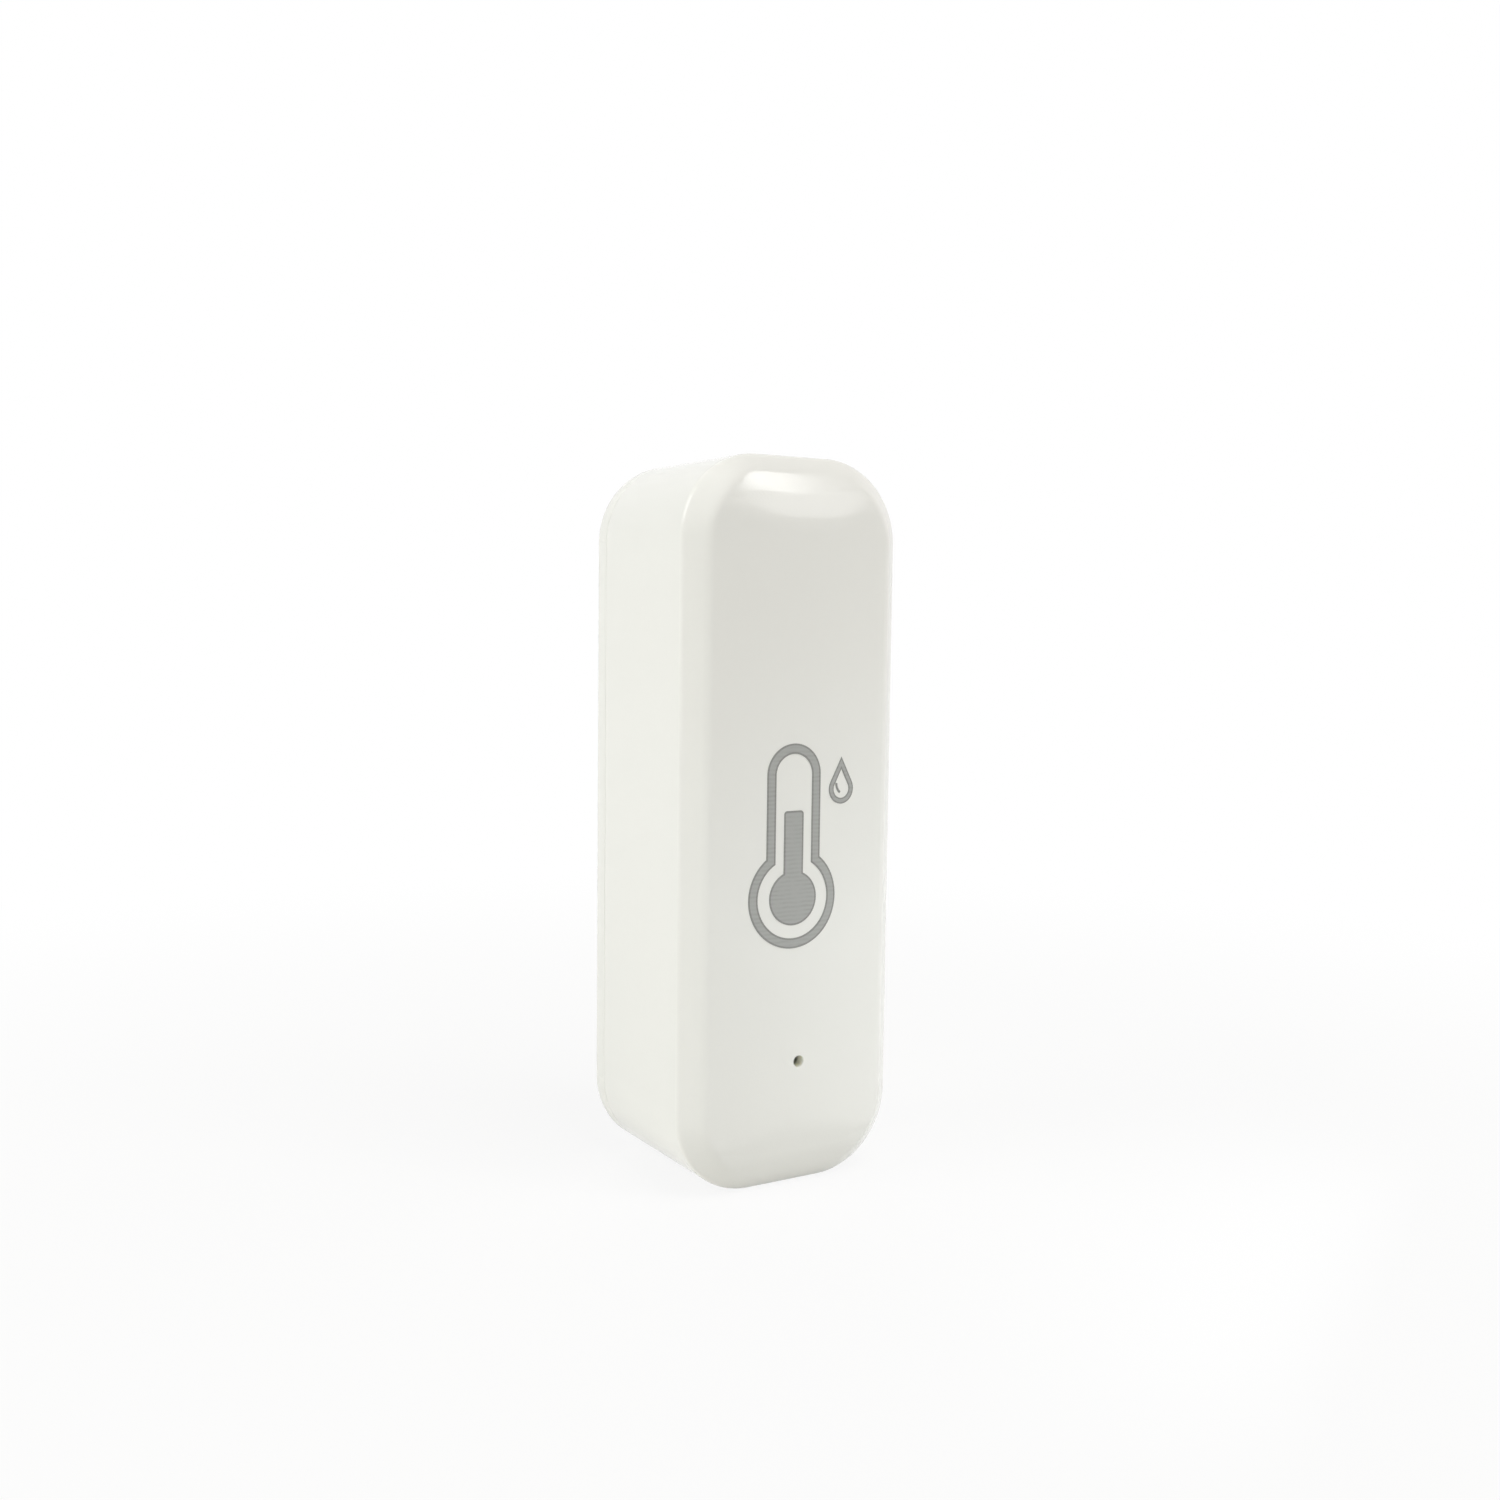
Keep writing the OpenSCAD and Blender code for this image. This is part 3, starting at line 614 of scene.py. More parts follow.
def pin_post(x):
    tip = board_back - pin_short
    post = [(0, boss_foot), (post_r, boss_foot), (post_r, board_front)]
    pin = [(pin_r, board_front), (pin_r, tip - pin_chamfer), (pin_r - pin_chamfer, tip), (0, tip)]
    return turned([*post, *pin], (x, 0, post_z), "Y")


ledge_middle = (0, case_h - wall / 2 - ledge_h / 2)
ledge = slab(ledge_w, ledge_h, ledge_r, ledge_near, ledge_near + ledge_t, ledge_middle, steps=4)
bosses = [*(tube_boss(s * screw_x) for s in SIDES), *(pin_post(s * post_x) for s in SIDES)]
shell = carved(shell, gathered([*bosses, ledge]), "UNION")
shell = carved(shell, cutters, "DIFFERENCE")
for f in shell.faces:
    off_axis = max(math.hypot(v.co.x, v.co.z - hole_z) for v in f.verts)
    f.material_index = int(off_axis < flare_r and f.calc_center_median().y < wall + reach)
make_piece(shell, "case_front", [white_case, hole_white], "case", ["front_shell"])

# %% [markdown]
# ## The back cover
# The cover closes the back as a shallow lid. Its rim carries on the outline of the shell, a lip enters the
# shell with small grip ribs, two flat pads stop short of the cells, and the outer face has a shallow recess
# for the adhesive pad. It is pulled from one plate by pushing and insetting, front to back.

# %% Back cover
lip_gap = 0.15
lip_t = 1.0
lip_round = 0.2
lip_d = cover_low.y
cover_t = 1.5
cover_in = case_d - cover_t
back_round = 0.4

cover = plate(case_w, case_h, corner_r, (0, case_d, case_h / 2), CASE_STEPS)
face = cover.faces[0]
back_face = cover.faces.new([cover.verts.new(v.co) for v in reversed(face.verts)])
bmesh.ops.translate(cover, verts=list(face.verts), vec=(0, part_d - case_d, 0))
back_edges, part_edges = list(back_face.edges), list(face.edges)
bmesh.ops.bridge_loops(cover, edges=back_edges + part_edges)
soften(cover, back_edges, back_round, 4)
soften(cover, part_edges, part_round, 2)
face = min((f for f in cover.faces if len(f.verts) > 4), key=lambda f: f.calc_center_median().y)
face = draw_in(cover, face, wall + lip_gap - part_round)
face = push(cover, face, (0, lip_d - part_d, 0))
lip_edges = list(face.edges)
face = draw_in(cover, face, lip_t)
face = push(cover, face, (0, cover_in - lip_d, 0))
soften(cover, [e for e in lip_edges if e.is_valid], lip_round, 2)
print("cover faces", len(cover.faces))

# %% Ribs, pads and recess of the cover
rib_r = 0.5
rib_gap = 0.03
rib_tip = 0.1
rib_shoulder = 0.3
rib_steps = 24
press_gap = 0.3
press_w = 3.4
press_h = 24.0
press_r = 0.4
pad_low, pad_high = span("adhesive_pad")
pad_w = pad_high.x - pad_low.x
pad_h = pad_high.z - pad_low.z
pad_r = 3.0
pad_gap = 0.2

rib_x = case_w / 2 - wall - rib_gap - rib_r
rib_profile = [(0, lip_d + rib_tip), (rib_r, lip_d + rib_shoulder), (rib_r, part_d), (0, part_d)]
ribs = [
    turned(rib_profile, (s * rib_x, 0, case_h / 2 + t * pad_h / 4), "Y", rib_steps)
    for s in SIDES for t in SIDES
]
cell_spans = [span(f"cell_{letter}_sleeve") for letter in "ab"]
press_pads = [
    slab(press_w, press_h, press_r, high.y + press_gap, cover_in + press_gap,
         ((low.x + high.x) / 2, case_h / 2), steps=4)
    for low, high in cell_spans
]
recess = slab(
    pad_w + 2 * pad_gap, pad_h + 2 * pad_gap, pad_r + pad_gap, pad_low.y, case_d + reach, (0, case_h / 2)
)
cover = carved(cover, gathered([*ribs, *press_pads]), "UNION")
cover = carved(cover, recess, "DIFFERENCE")
make_piece(cover, "case_back", [white_case], "cover", ["back_cover"])

# %% [markdown]
# ## The signs on the front
# The thermometer and the drop are marked on the plastic in one grey, hardly thicker than paint, with a finely
# hatched fill and a slightly darker edge. A text object or an image could do this, but thin solids keep crisp
# edges from every side. Each sign is joined and cut from discs and plates while flat, with its edge as a
# piece of its own, then cut into strips and laid on the crown.

# %% Sign finish


def mark_ink(name, colour, hatch):
    finish = Finish(name, colour, 0.5)
    strokes = finish.ramp(finish.lines(0.42, "Z", 1.5), 0.2, 0.9)
    cloud = finish.ramp(finish.noise(1.2, 3), 0.35, 0.7)
    finish.tint(cloud, finish.blend(strokes, colour, hatch), colour)
    finish.gloss(0.5, 2, 0.46, 0.58)
    finish.relief(strokes, 0.004)
    return finish.material


mark_grey = mark_ink("mark_grey", (0.41, 0.415, 0.393), (0.366, 0.369, 0.348))
mark_edge = mark_ink("mark_edge", (0.29, 0.292, 0.272), (0.26, 0.26, 0.242))
print("finishes", mark_grey.name, mark_edge.name)

# %% Thermometer
mark_low, mark_high = span("thermometer_mark")
thermo_x = (mark_low.x + mark_high.x) / 2
bulb_r = (mark_high.x - mark_low.x) / 2
bulb_z = mark_low.z + bulb_r
tube_top = mark_high.z
tube_r = 3.03
line_w = 1.0
ball_r = 2.67
column_r = 1.1
column_top = 37.75
column_round = 0.35
print_t = 0.03
sunk = 0.12
edge_w = 0.18
clear = 0.004
tool_over = 0.5
disc_steps = 96


def disc(x, z, r, near, far):
    return turned([(0, near), (r, near), (r, far), (0, far)], (x, 0, z), "Y", disc_steps)


def sign_form(foot_r, half_w, top, corner, inset=0.0, more=0.0):
    """A disc with an upright bar on it, drawn in by an inset; more makes it deeper, as a cutting tool.
    The bar is a hair thicker than the disc, because faces in one plane confuse a Boolean."""
    near, far = -print_t - more, sunk + more
    high = top - inset
    bar = slab(2 * (half_w - inset), high - bulb_z, corner - inset - clear, near - clear, far + clear,
               (thermo_x, (bulb_z + high) / 2))
    return carved(disc(thermo_x, bulb_z, foot_r - inset, near, far), bar, "UNION")


def glass(inset, more=0.0):
    return sign_form(bulb_r, tube_r, tube_top, tube_r, inset, more)


def fluid(inset, more=0.0):
    return sign_form(ball_r, column_r, column_top, column_round, inset, more)


def band_of(form, outer, inner):
    """What lies between two insets of a form."""
    return carved(form(outer), form(inner, tool_over), "DIFFERENCE")


def laid_on_front(parts):
    """Cuts flat signs into strips and bends them onto the crown."""
    bm = gathered(parts)
    cut_grid(bm, list(bm.faces), upright_cuts, [])
    for v in bm.verts:
        v.co.y += front_depth(v.co.x, v.co.z)
    return bm


fills = [band_of(glass, edge_w, line_w - edge_w), fluid(edge_w)]
edges = [band_of(glass, 0, edge_w), band_of(glass, line_w - edge_w, line_w), band_of(fluid, 0, edge_w)]
make_piece(laid_on_front(fills), "thermometer_sign", [mark_grey], "case", ["thermometer_mark"])
make_piece(laid_on_front(edges), "thermometer_edge", [mark_edge], "case")

# %% Drop
drop_low, drop_high = span("drop_mark")
drop_x = (drop_low.x + drop_high.x) / 2
drop_r = (drop_high.x - drop_low.x) / 2
drop_z = drop_low.z
drop_h = drop_high.z - drop_low.z
drop_line = 0.57
drop_edge = 0.14
glint_w = 0.24
glint_r = 1.06
glint_start = math.radians(-4)
glint_sweep = math.radians(-58)
glint_steps = 10
glint_aside = 0.48
glint_rise = 0.5


def drop_form(inset, more=0.0):
    """A disc with a pointed hat whose flanks run off it smoothly."""
    r = drop_r - inset
    middle = drop_z + drop_r
    lean = math.asin(drop_r / (drop_h - drop_r))
    tip = drop_z + drop_h - inset / math.sin(lean)
    side_x, side_z = r * math.cos(lean), middle + r * math.sin(lean)
    hat = bmesh.new()
    spots = ((drop_x - side_x, side_z), (drop_x + side_x, side_z), (drop_x, tip))
    near = hat.faces.new([hat.verts.new((x, -print_t - more - clear, z)) for x, z in spots])
    far = hat.faces.new([hat.verts.new((x, sunk + more + clear, z)) for x, z in reversed(spots)])
    bmesh.ops.bridge_loops(hat, edges=[*near.edges, *far.edges])
    return carved(disc(drop_x, middle, r, -print_t - more, sunk + more), hat, "UNION")


def curved_glint():
    """A short arc in the drop: the end of the stroke is spun about a point up and to the right of it."""
    bm = bmesh.new()
    left, right = -glint_r - glint_w / 2, -glint_r + glint_w / 2
    corners = ((left, -print_t), (right, -print_t), (right, sunk), (left, sunk))
    bm.faces.new([bm.verts.new((x, y, 0)) for x, y in corners])
    bmesh.ops.rotate(bm, verts=bm.verts, matrix=Matrix.Rotation(-glint_start, 3, "Y"))
    bmesh.ops.spin(
        bm, geom=[*bm.verts, *bm.edges, *bm.faces], cent=(0, 0, 0), axis=(0, 1, 0), angle=glint_sweep,
        steps=glint_steps,
    )
    bmesh.ops.recalc_face_normals(bm, faces=bm.faces)
    spun_about = (drop_x + glint_aside, 0, drop_z + drop_r + glint_rise)
    bmesh.ops.translate(bm, verts=bm.verts, vec=spun_about)
    return bm


inner_edge = drop_line - drop_edge
fill = band_of(drop_form, drop_edge, inner_edge)
edges = [band_of(drop_form, 0, drop_edge), band_of(drop_form, inner_edge, drop_line), curved_glint()]
make_piece(laid_on_front([fill]), "drop_sign", [mark_grey], "case", ["drop_mark"])
make_piece(laid_on_front(edges), "drop_edge", [mark_edge], "case")

# %% [markdown]
# ## The adhesive pad
# A strip of foam tape holds the sensor to a wall. Cut foam has soft edges and an open skin of tiny cells, and
# its outer face carries a thin waxed paper in two halves that is peeled off before use.

# %% Adhesive pad
foam = Finish("pad_foam", (0.68, 0.68, 0.66), 0.85)
pores = foam.cells(0.35)
foam.tint(foam.ramp(pores, 0.1, 0.6), (0.7, 0.7, 0.68), (0.56, 0.56, 0.54))
foam.gloss(1, 2, 0.78, 0.92)
foam.relief(pores, 0.05)
paper = Finish("liner_paper", (0.82, 0.8, 0.72), 0.42)
fibres = paper.ramp(paper.noise(0.6, 4, (1, 1, 0.25)), *NOISE_SPAN)
paper.tint(fibres, (0.83, 0.81, 0.73), (0.76, 0.74, 0.66))
paper.gloss(4, 2, 0.36, 0.5)
paper.relief(fibres, 0.006)

liner_t = 0.06
liner_split = 0.18
pad_round = 0.3


def rim_edges(bm, depth):
    return [e for e in bm.edges if all(abs(v.co.y - depth) < MERGE for v in e.verts)]


pad_back = pad_high.y - liner_t
pad = slab(pad_w, pad_h, pad_r, pad_low.y, pad_back, (0, case_h / 2))
soften(pad, rim_edges(pad, pad_back), pad_round, 5)
soften(pad, rim_edges(pad, pad_low.y), pad_round / 2, 3)
pad_piece = make_piece(pad, "foam_pad", [foam.material], "cover", ["adhesive_pad"])

liner = slab(
    pad_w - pad_round, pad_h - pad_round, pad_r - pad_round / 2, pad_back, pad_high.y, (0, case_h / 2)
)
slit = slab(
    2 * pad_w, liner_split, liner_split / 4, pad_back - reach, pad_high.y + reach, (0, case_h / 2), steps=2
)
liner = carved(liner, slit, "DIFFERENCE")
make_piece(liner, "pad_liner", [paper.material], "cover")

# %% [markdown]
# ## The cells
# Two slim alkaline cells lie side by side, one up and one down. Each is a drawn can in a shrunk film whose
# ends fold over the edge, with a nub and a dark seal at one end and a pressed plate at the other. All of it
# is turned on the cell's axis: the corners of each half profile are rounded first, while they are still
# loose points.

# %% Metal and film finishes
WORN_TONE = 0.86


def drawn_metal(name, colour, roughness, pitch, direction):
    """Plated or drawn metal with faint tool lines and a cloudy gloss."""
    finish = Finish(name, colour, roughness, 1.0)
    worn = tuple(c * WORN_TONE for c in colour)
    finish.tint(finish.ramp(finish.noise(1.5, 3), 0.35, 0.7), colour, worn)
    finish.gloss(0.8, 3, roughness - 0.06, roughness + 0.08)
    finish.relief(finish.lines(pitch, direction, 2.0), 0.0015)
    return finish.material


def printed_film(name, colour, fleck):
    """Glossy shrink film with a faint metal fleck and slight ripples."""
    finish = Finish(name, colour, 0.25)
    finish.set("Coat Weight", 0.4)
    finish.set("Coat Roughness", 0.12)
    finish.tint(finish.ramp(finish.noise(0.25, 2), 0.4, 0.75), colour, fleck)
    finish.gloss(2, 2, 0.22, 0.32)
    finish.relief(finish.noise(2.5, 1), 0.02)
    return finish.material


can_metal = drawn_metal("cell_metal", (0.77, 0.77, 0.76), 0.3, 0.12, "Z")
cap_metal = drawn_metal("cap_metal", (0.8, 0.79, 0.77), 0.24, 0.1, "X")
film_body = printed_film("sleeve_film", (0.1, 0.17, 0.26), (0.13, 0.21, 0.31))
film_band = printed_film("sleeve_band", (0.62, 0.6, 0.56), (0.7, 0.68, 0.63))
seal_finish = Finish("seal_black", (0.035, 0.035, 0.036), 0.6)
seal_finish.tint(seal_finish.noise(0.4, 2), (0.03, 0.03, 0.031), (0.055, 0.055, 0.055))
seal_finish.relief(seal_finish.noise(0.3, 2), 0.01)
print("finishes", can_metal.name, cap_metal.name, film_body.name, film_band.name)

# %% Cells
fold = 0.5
film_round = 0.4
band_top = 7.5
stripe_w = 0.6
top_band = 1.0
nub_r = 1.9
nub_foot = 0.12
nub_round = 0.3
flange_t = 0.3
seal_rise = 0.4
groove_r = 3.1
groove_side = 0.15
groove_floor = 0.25
groove_d = 0.12
groove_round = 0.05
rim_round = 0.15
edge_round = 0.1


def placed_cell(bm, axis, foot, upright):
    if not upright:
        bmesh.ops.rotate(bm, verts=bm.verts, matrix=Matrix.Rotation(math.pi, 3, "X"))
    bmesh.ops.translate(bm, verts=bm.verts, vec=(*axis, foot))
    return bm


def make_cell(letter, upright):
    nodes = {part: f"cell_{letter}_{part}" for part in ("can", "cap", "seal", "sleeve")}
    (low, high), (can_low, can_high) = span(nodes["sleeve"]), span(nodes["can"])
    cap_low, cap_high = span(nodes["cap"])
    axis = ((low.x + high.x) / 2, (low.y + high.y) / 2)
    film_r, can_r = (high.x - low.x) / 2, (can_high.x - can_low.x) / 2
    cap_r = (cap_high.x - cap_low.x) / 2
    length = can_high.z - can_low.z
    film_t = film_r - can_r
    nub_h = cap_high.z - cap_low.z
    recess = nub_h + length - (cap_high.z - can_low.z if upright else can_high.z - cap_low.z)
    foot = can_low.z if upright else can_high.z
    shelf = length - recess
    seal_r = span(nodes["seal"])[1].x - axis[0]

    fold_r = can_r - fold
    stripe = length - band_top
    stripe_end = stripe + stripe_w
    film = turned(
        [(fold_r, 0), (fold_r, -film_t), (film_r, -film_t, film_round), (film_r, stripe),
         (film_r, stripe_end), (film_r, length + film_t, film_round), (fold_r, length + film_t),
         (fold_r, length), (can_r, length), (can_r, 0), (fold_r, 0)]
    )
    for f in film.faces:
        height = f.calc_center_median().z
        f.material_index = int(stripe < height < stripe_end or height > length - top_band)
    groove_in = groove_r + groove_side
    groove_out = groove_in + groove_floor
    can = turned(
        [(0, 0), (groove_r, 0, edge_round), (groove_in, groove_d, groove_round),
         (groove_out, groove_d, groove_round), (groove_out + groove_side, 0, edge_round), (can_r, 0),
         (can_r, length), (seal_r, length, rim_round), (seal_r, shelf), (0, shelf)]
    )
    flange = shelf + flange_t
    seal = turned(
        [(cap_r, shelf), (cap_r, flange), (seal_r, shelf + seal_rise, edge_round), (seal_r, shelf),
         (cap_r, shelf)]
    )
    cap = turned(
        [(0, shelf), (cap_r, shelf), (cap_r, flange, edge_round), (nub_r + nub_foot, flange, nub_foot),
         (nub_r, shelf + nub_h, nub_round), (0, shelf + nub_h)]
    )
    finishes = {
        "can": (can, [can_metal], "cell_metal"),
        "cap": (cap, [cap_metal], "cap_metal"),
        "seal": (seal, [seal_finish.material], "seal_black"),
        "sleeve": (film, [film_body, film_band], "sleeve_film"),
    }
    for part, (bm, materials, slot) in finishes.items():
        made = placed_cell(bm, axis, foot, upright)
        make_piece(made, f"cell_{letter}_{part}_turned", materials, "case", [nodes[part]])


make_cell("a", True)
make_cell("b", False)

# %% [markdown]
# ## Contact springs
# Each cell's flat end sits against a conical spring of plated wire: a flat turn on the contact plate, then
# rising turns that close in, and a flat turn at the tip. Blender has a screw operator for even coils, but
# here both pitch and radius change. So one ring of the wire is extruded again and again, and each time it is
# carried on by the matrix of the next point.

# %% Springs
wire_r = 0.25
wire_sides = 12
coil_steps = 36
flat_turns = 0.75
coil_turns = 3.6
coil_foot_r = 3.4
coil_tip_r = 1.8
ease = 0.35
spring_metal = drawn_metal("spring_nickel", (0.78, 0.76, 0.72), 0.25, 0.15, "Z")


def coil_place(turn_count, rise):
    """Matrix of the wire's ring after some turns: round the axis, out to the radius, up to the height."""
    share = (turn_count - flat_turns) / (coil_turns - 2 * flat_turns)
    share = min(max(share, 0), 1)
    r = coil_foot_r + (coil_tip_r - coil_foot_r) * share
    climb = share * share * (3 - 2 * share) * ease + share * (1 - ease)
    height = wire_r + (rise - 2 * wire_r) * climb
    return Matrix.Rotation(math.tau * turn_count, 4, "Z") @ Matrix.Translation((r, 0, height))


def make_spring(node, cell_node, upright):
    """A spring on the axis of the cell that it presses on."""
    low, high = span(node)
    rise = high.z - low.z
    cell_low, cell_high = span(cell_node)
    axis = ((cell_low.x + cell_high.x) / 2, (cell_low.y + cell_high.y) / 2)
    coil = bmesh.new()
    bmesh.ops.create_circle(coil, segments=wire_sides, radius=wire_r, cap_ends=True)
    bmesh.ops.rotate(coil, verts=coil.verts, matrix=Matrix.Rotation(math.pi / 2, 3, "X"))
    ring = list(coil.edges)
    count = int(coil_turns * coil_steps)
    before = coil_place(0, rise)
    bmesh.ops.transform(coil, matrix=before, verts=coil.verts)
    for i in range(1, count + 1):
        after = coil_place(coil_turns * i / count, rise)
        made = bmesh.ops.extrude_edge_only(coil, edges=ring)["geom"]
        bmesh.ops.transform(coil, matrix=after @ before.inverted(), verts=only(BMVert, made))
        ring = only(BMEdge, made)
        before = after
    bmesh.ops.contextual_create(coil, geom=ring)
    placed_cell(coil, axis, low.z if upright else high.z, upright)
    make_piece(coil, f"{node}_wound", [spring_metal], "case", [node])


make_spring("negative_spring", "cell_a_sleeve", True)
make_spring("bridge_spring", "cell_b_sleeve", False)

# %% [markdown]
# ## Moulded and pressed parts
# The tray, the contact plates and the parts on the boards keep the form of their CAD solids, but a moulded or
# pressed edge is never knife sharp. A copy of the solid is merged, its flat faces are joined up again, and
# every real edge gets a small round.

# %% Soft-edged copies
tray_finish = Finish("tray_grey", (0.76, 0.76, 0.74), 0.5)
tray_finish.tint(tray_finish.noise(6, 3), (0.77, 0.77, 0.75), (0.71, 0.71, 0.69))
tray_finish.gloss(2, 3, 0.42, 0.55)
tray_finish.relief(tray_finish.noise(0.2, 2), 0.006)
nickel = drawn_metal("contact_nickel", (0.76, 0.74, 0.69), 0.28, 0.14, "X")
tinned = drawn_metal("shield_steel", (0.74, 0.74, 0.73), 0.34, 0.2, "Z")
EDGE_ANGLE = math.radians(35)
FLAT_ANGLE = math.radians(2)
COPY_MERGE = 0.0005


def soft_copy(node, width, finish, body, steps=2):
    """A copy of a CAD node with rounded edges, which stands for it."""
    bm = bmesh.new()
    bm.from_mesh(bpy.data.objects[node].data)
    bm.transform(to_model)
    bmesh.ops.remove_doubles(bm, verts=bm.verts, dist=COPY_MERGE)
    bmesh.ops.dissolve_limit(bm, angle_limit=FLAT_ANGLE, verts=bm.verts, edges=bm.edges)
    bm.normal_update()
    real = [e for e in bm.edges if e.is_manifold and e.calc_face_angle(0) > EDGE_ANGLE]
    soften(bm, real, width, steps)
    make_piece(bm, f"{node}_soft", [finish], body, [node])


soft_copy("battery_tray", 0.15, tray_finish.material, "case")
for plate_node in ("positive_plate", "negative_plate", "bridge_plate"):
    soft_copy(plate_node, 0.06, nickel, "case")

# %% [markdown]
# ## Screws
# Two small screws hold the tray and the board to the shell. They are pan heads with a cross recess: the head
# is turned with a large round, and two crossed bars are cut into it.

# %% Screws
zinc = drawn_metal("screw_steel", (0.62, 0.62, 0.61), 0.32, 0.08, "Z")
screw_low, screw_high = span("case_screws")
screw_z = (screw_low.z + screw_high.z) / 2
head_r = (screw_high.z - screw_low.z) / 2
head_h = 1.2
shank_r = 0.85
head_side = 0.45
head_flat = 0.72
head_rounds = (0.08, 0.1, 0.5)
thread_pitch = 0.7
thread_depth = 0.22
plain_shank = 1.2
recess_w = 0.55
recess_l = 2.1
recess_r = 0.1
recess_depth = 0.65
screw_steps = 36


def pan_screw(x):
    tip, top = screw_low.y, screw_high.y
    under = top - head_h
    core_r = shank_r - thread_depth
    shank = [(0, tip)]
    h = tip
    while h < under - plain_shank:
        shank += [(core_r, h), (shank_r, h + thread_pitch / 2)]
        h += thread_pitch
    shank += [(core_r, h), (core_r, under)]
    rims = ((head_r, under), (head_r, under + head_side), (head_r * head_flat, top))
    head = [(*rim, rounding) for rim, rounding in zip(rims, head_rounds)]
    screw = turned([*shank, *head, (0, top)], (x, 0, screw_z), "Y", screw_steps)
    for wide, high in ((recess_w, recess_l), (recess_l, recess_w)):
        bar = slab(wide, high, recess_r, top - recess_depth, top + reach, (x, screw_z), steps=3)
        screw = carved(screw, bar, "DIFFERENCE")
    return screw


screws = gathered([pan_screw(s * screw_x) for s in SIDES])
make_piece(screws, "pan_screws", [zinc], "case", ["case_screws"])

# %% [markdown]
# ## Boards and their parts
# Behind the front sit the main board and a radio module. A board is glass fibre under solder mask, with
# tracks that show as slightly raised lines of a lighter tone, and its parts are moulded blocks, ceramic chips
# and pressed cans. They are out of sight in use, so soft-edged copies with true finishes are enough.

# %% Board finishes


def solder_mask(name, colour, track):
    finish = Finish(name, colour, 0.35)
    tracks = finish.ramp(finish.lines(1.6, "X", 0.4), 0.72, 0.8)
    finish.tint(tracks, colour, track)
    finish.gloss(0.5, 2, 0.3, 0.42)
    finish.relief(tracks, 0.03)
    finish.relief(finish.noise(0.25, 1), 0.006)
    return finish.material


def speckled(name, colour, fleck, roughness, size=0.3, depth=0.01):
    """Moulded or sintered stuff: small flecks, uneven gloss and a fine grain."""
    finish = Finish(name, colour, roughness)
    finish.tint(finish.ramp(finish.noise(size, 3), 0.4, 0.7), colour, fleck)
    finish.gloss(size * 3, 2, roughness - 0.08, roughness + 0.08)
    finish.relief(finish.noise(size / 2, 2), depth)
    return finish.material


mask_green = solder_mask("board_green", (0.03, 0.19, 0.095), (0.05, 0.26, 0.13))
mask_blue = solder_mask("board_blue", (0.02, 0.04, 0.12), (0.03, 0.07, 0.18))
gold = drawn_metal("copper_gold", (0.83, 0.62, 0.3), 0.25, 0.12, "X")
moulded_black = speckled("chip_black", (0.028, 0.028, 0.029), (0.05, 0.05, 0.05), 0.5)
ceramic = speckled("chip_brown", (0.33, 0.24, 0.16), (0.4, 0.3, 0.21), 0.45, 0.2)
ferrite = speckled("ferrite_grey", (0.15, 0.15, 0.16), (0.22, 0.22, 0.23), 0.6, 0.15)
tantalum = speckled("capacitor_orange", (0.78, 0.48, 0.11), (0.85, 0.56, 0.17), 0.35, 0.5)
# The plunger is white plastic, but its colour is darkened to a warm beige: painted shade for the deep pin hole
# it is seen through.
plunger_shaded_finish = speckled("plunger_white", (0.6, 0.53, 0.45), (0.66, 0.59, 0.51), 0.45, 0.4)
clear_cast = speckled("led_clear", (0.88, 0.85, 0.66), (0.93, 0.91, 0.76), 0.2, 0.6, 0.003)
membrane = speckled("membrane_white", (0.86, 0.86, 0.84), (0.74, 0.74, 0.72), 0.8, 0.1, 0.02)
print("board finishes ready")

# %% Parts on the boards
board_parts = (
    ("main_board", 0.05, mask_green, "board_green"), ("radio_board", 0.05, mask_blue, "board_blue"),
    ("radio_shield", 0.25, tinned, "shield_steel"), ("humidity_sensor", 0.1, moulded_black, "chip_black"),
    ("switch_base", 0.08, moulded_black, "chip_black"), ("switch_frame", 0.05, tinned, "shield_steel"),
    ("status_led", 0.08, clear_cast, "led_clear"), ("storage_capacitor", 0.2, tantalum, "capacitor_orange"),
    ("power_inductor", 0.15, ferrite, "ferrite_grey"), ("crystal_can", 0.15, tinned, "shield_steel"),
    ("chip_parts", 0.06, ceramic, "chip_brown"),
)
for node, width, finish, slot in board_parts:
    soft_copy(node, width, finish, "case")
soft_copy("reset_plunger", 0.08, plunger_shaded_finish, "plunger", 3)
for node, finish in (("radio_antenna", gold), ("sensor_membrane", membrane)):
    kept = bpy.data.objects[node].data.materials
    kept.clear()
    kept.append(finish)

# %% [markdown]
# ## The switch dome
# Under the plunger lies a dome of thin gilt sheet that snaps flat when it is pressed and springs back. It is
# an arc with a thickness, spun once round.

# %% Switch dome
sheet_t = 0.1
arc_steps = 8
dome_low, dome_high = span("switch_dome")
dome_rise = dome_high.y - dome_low.y
dome_rim = (dome_high.x - dome_low.x) / 2
arc_rise = dome_rise - sheet_t
arc_r = (dome_rim**2 + arc_rise**2) / (2 * arc_rise)
arc_angles = [math.asin(dome_rim / arc_r) * i / arc_steps for i in range(arc_steps + 1)]
outside = [(arc_r * math.sin(a), dome_low.y + arc_r * (1 - math.cos(a))) for a in arc_angles]
underside = [(r, depth + sheet_t) for r, depth in reversed(outside)]
dome_sheet = turned([*outside, *underside], (0, 0, hole_z), "Y")
dome = make_piece(dome_sheet, "snap_dome", [gold], "case", ["switch_dome"])
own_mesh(dome)

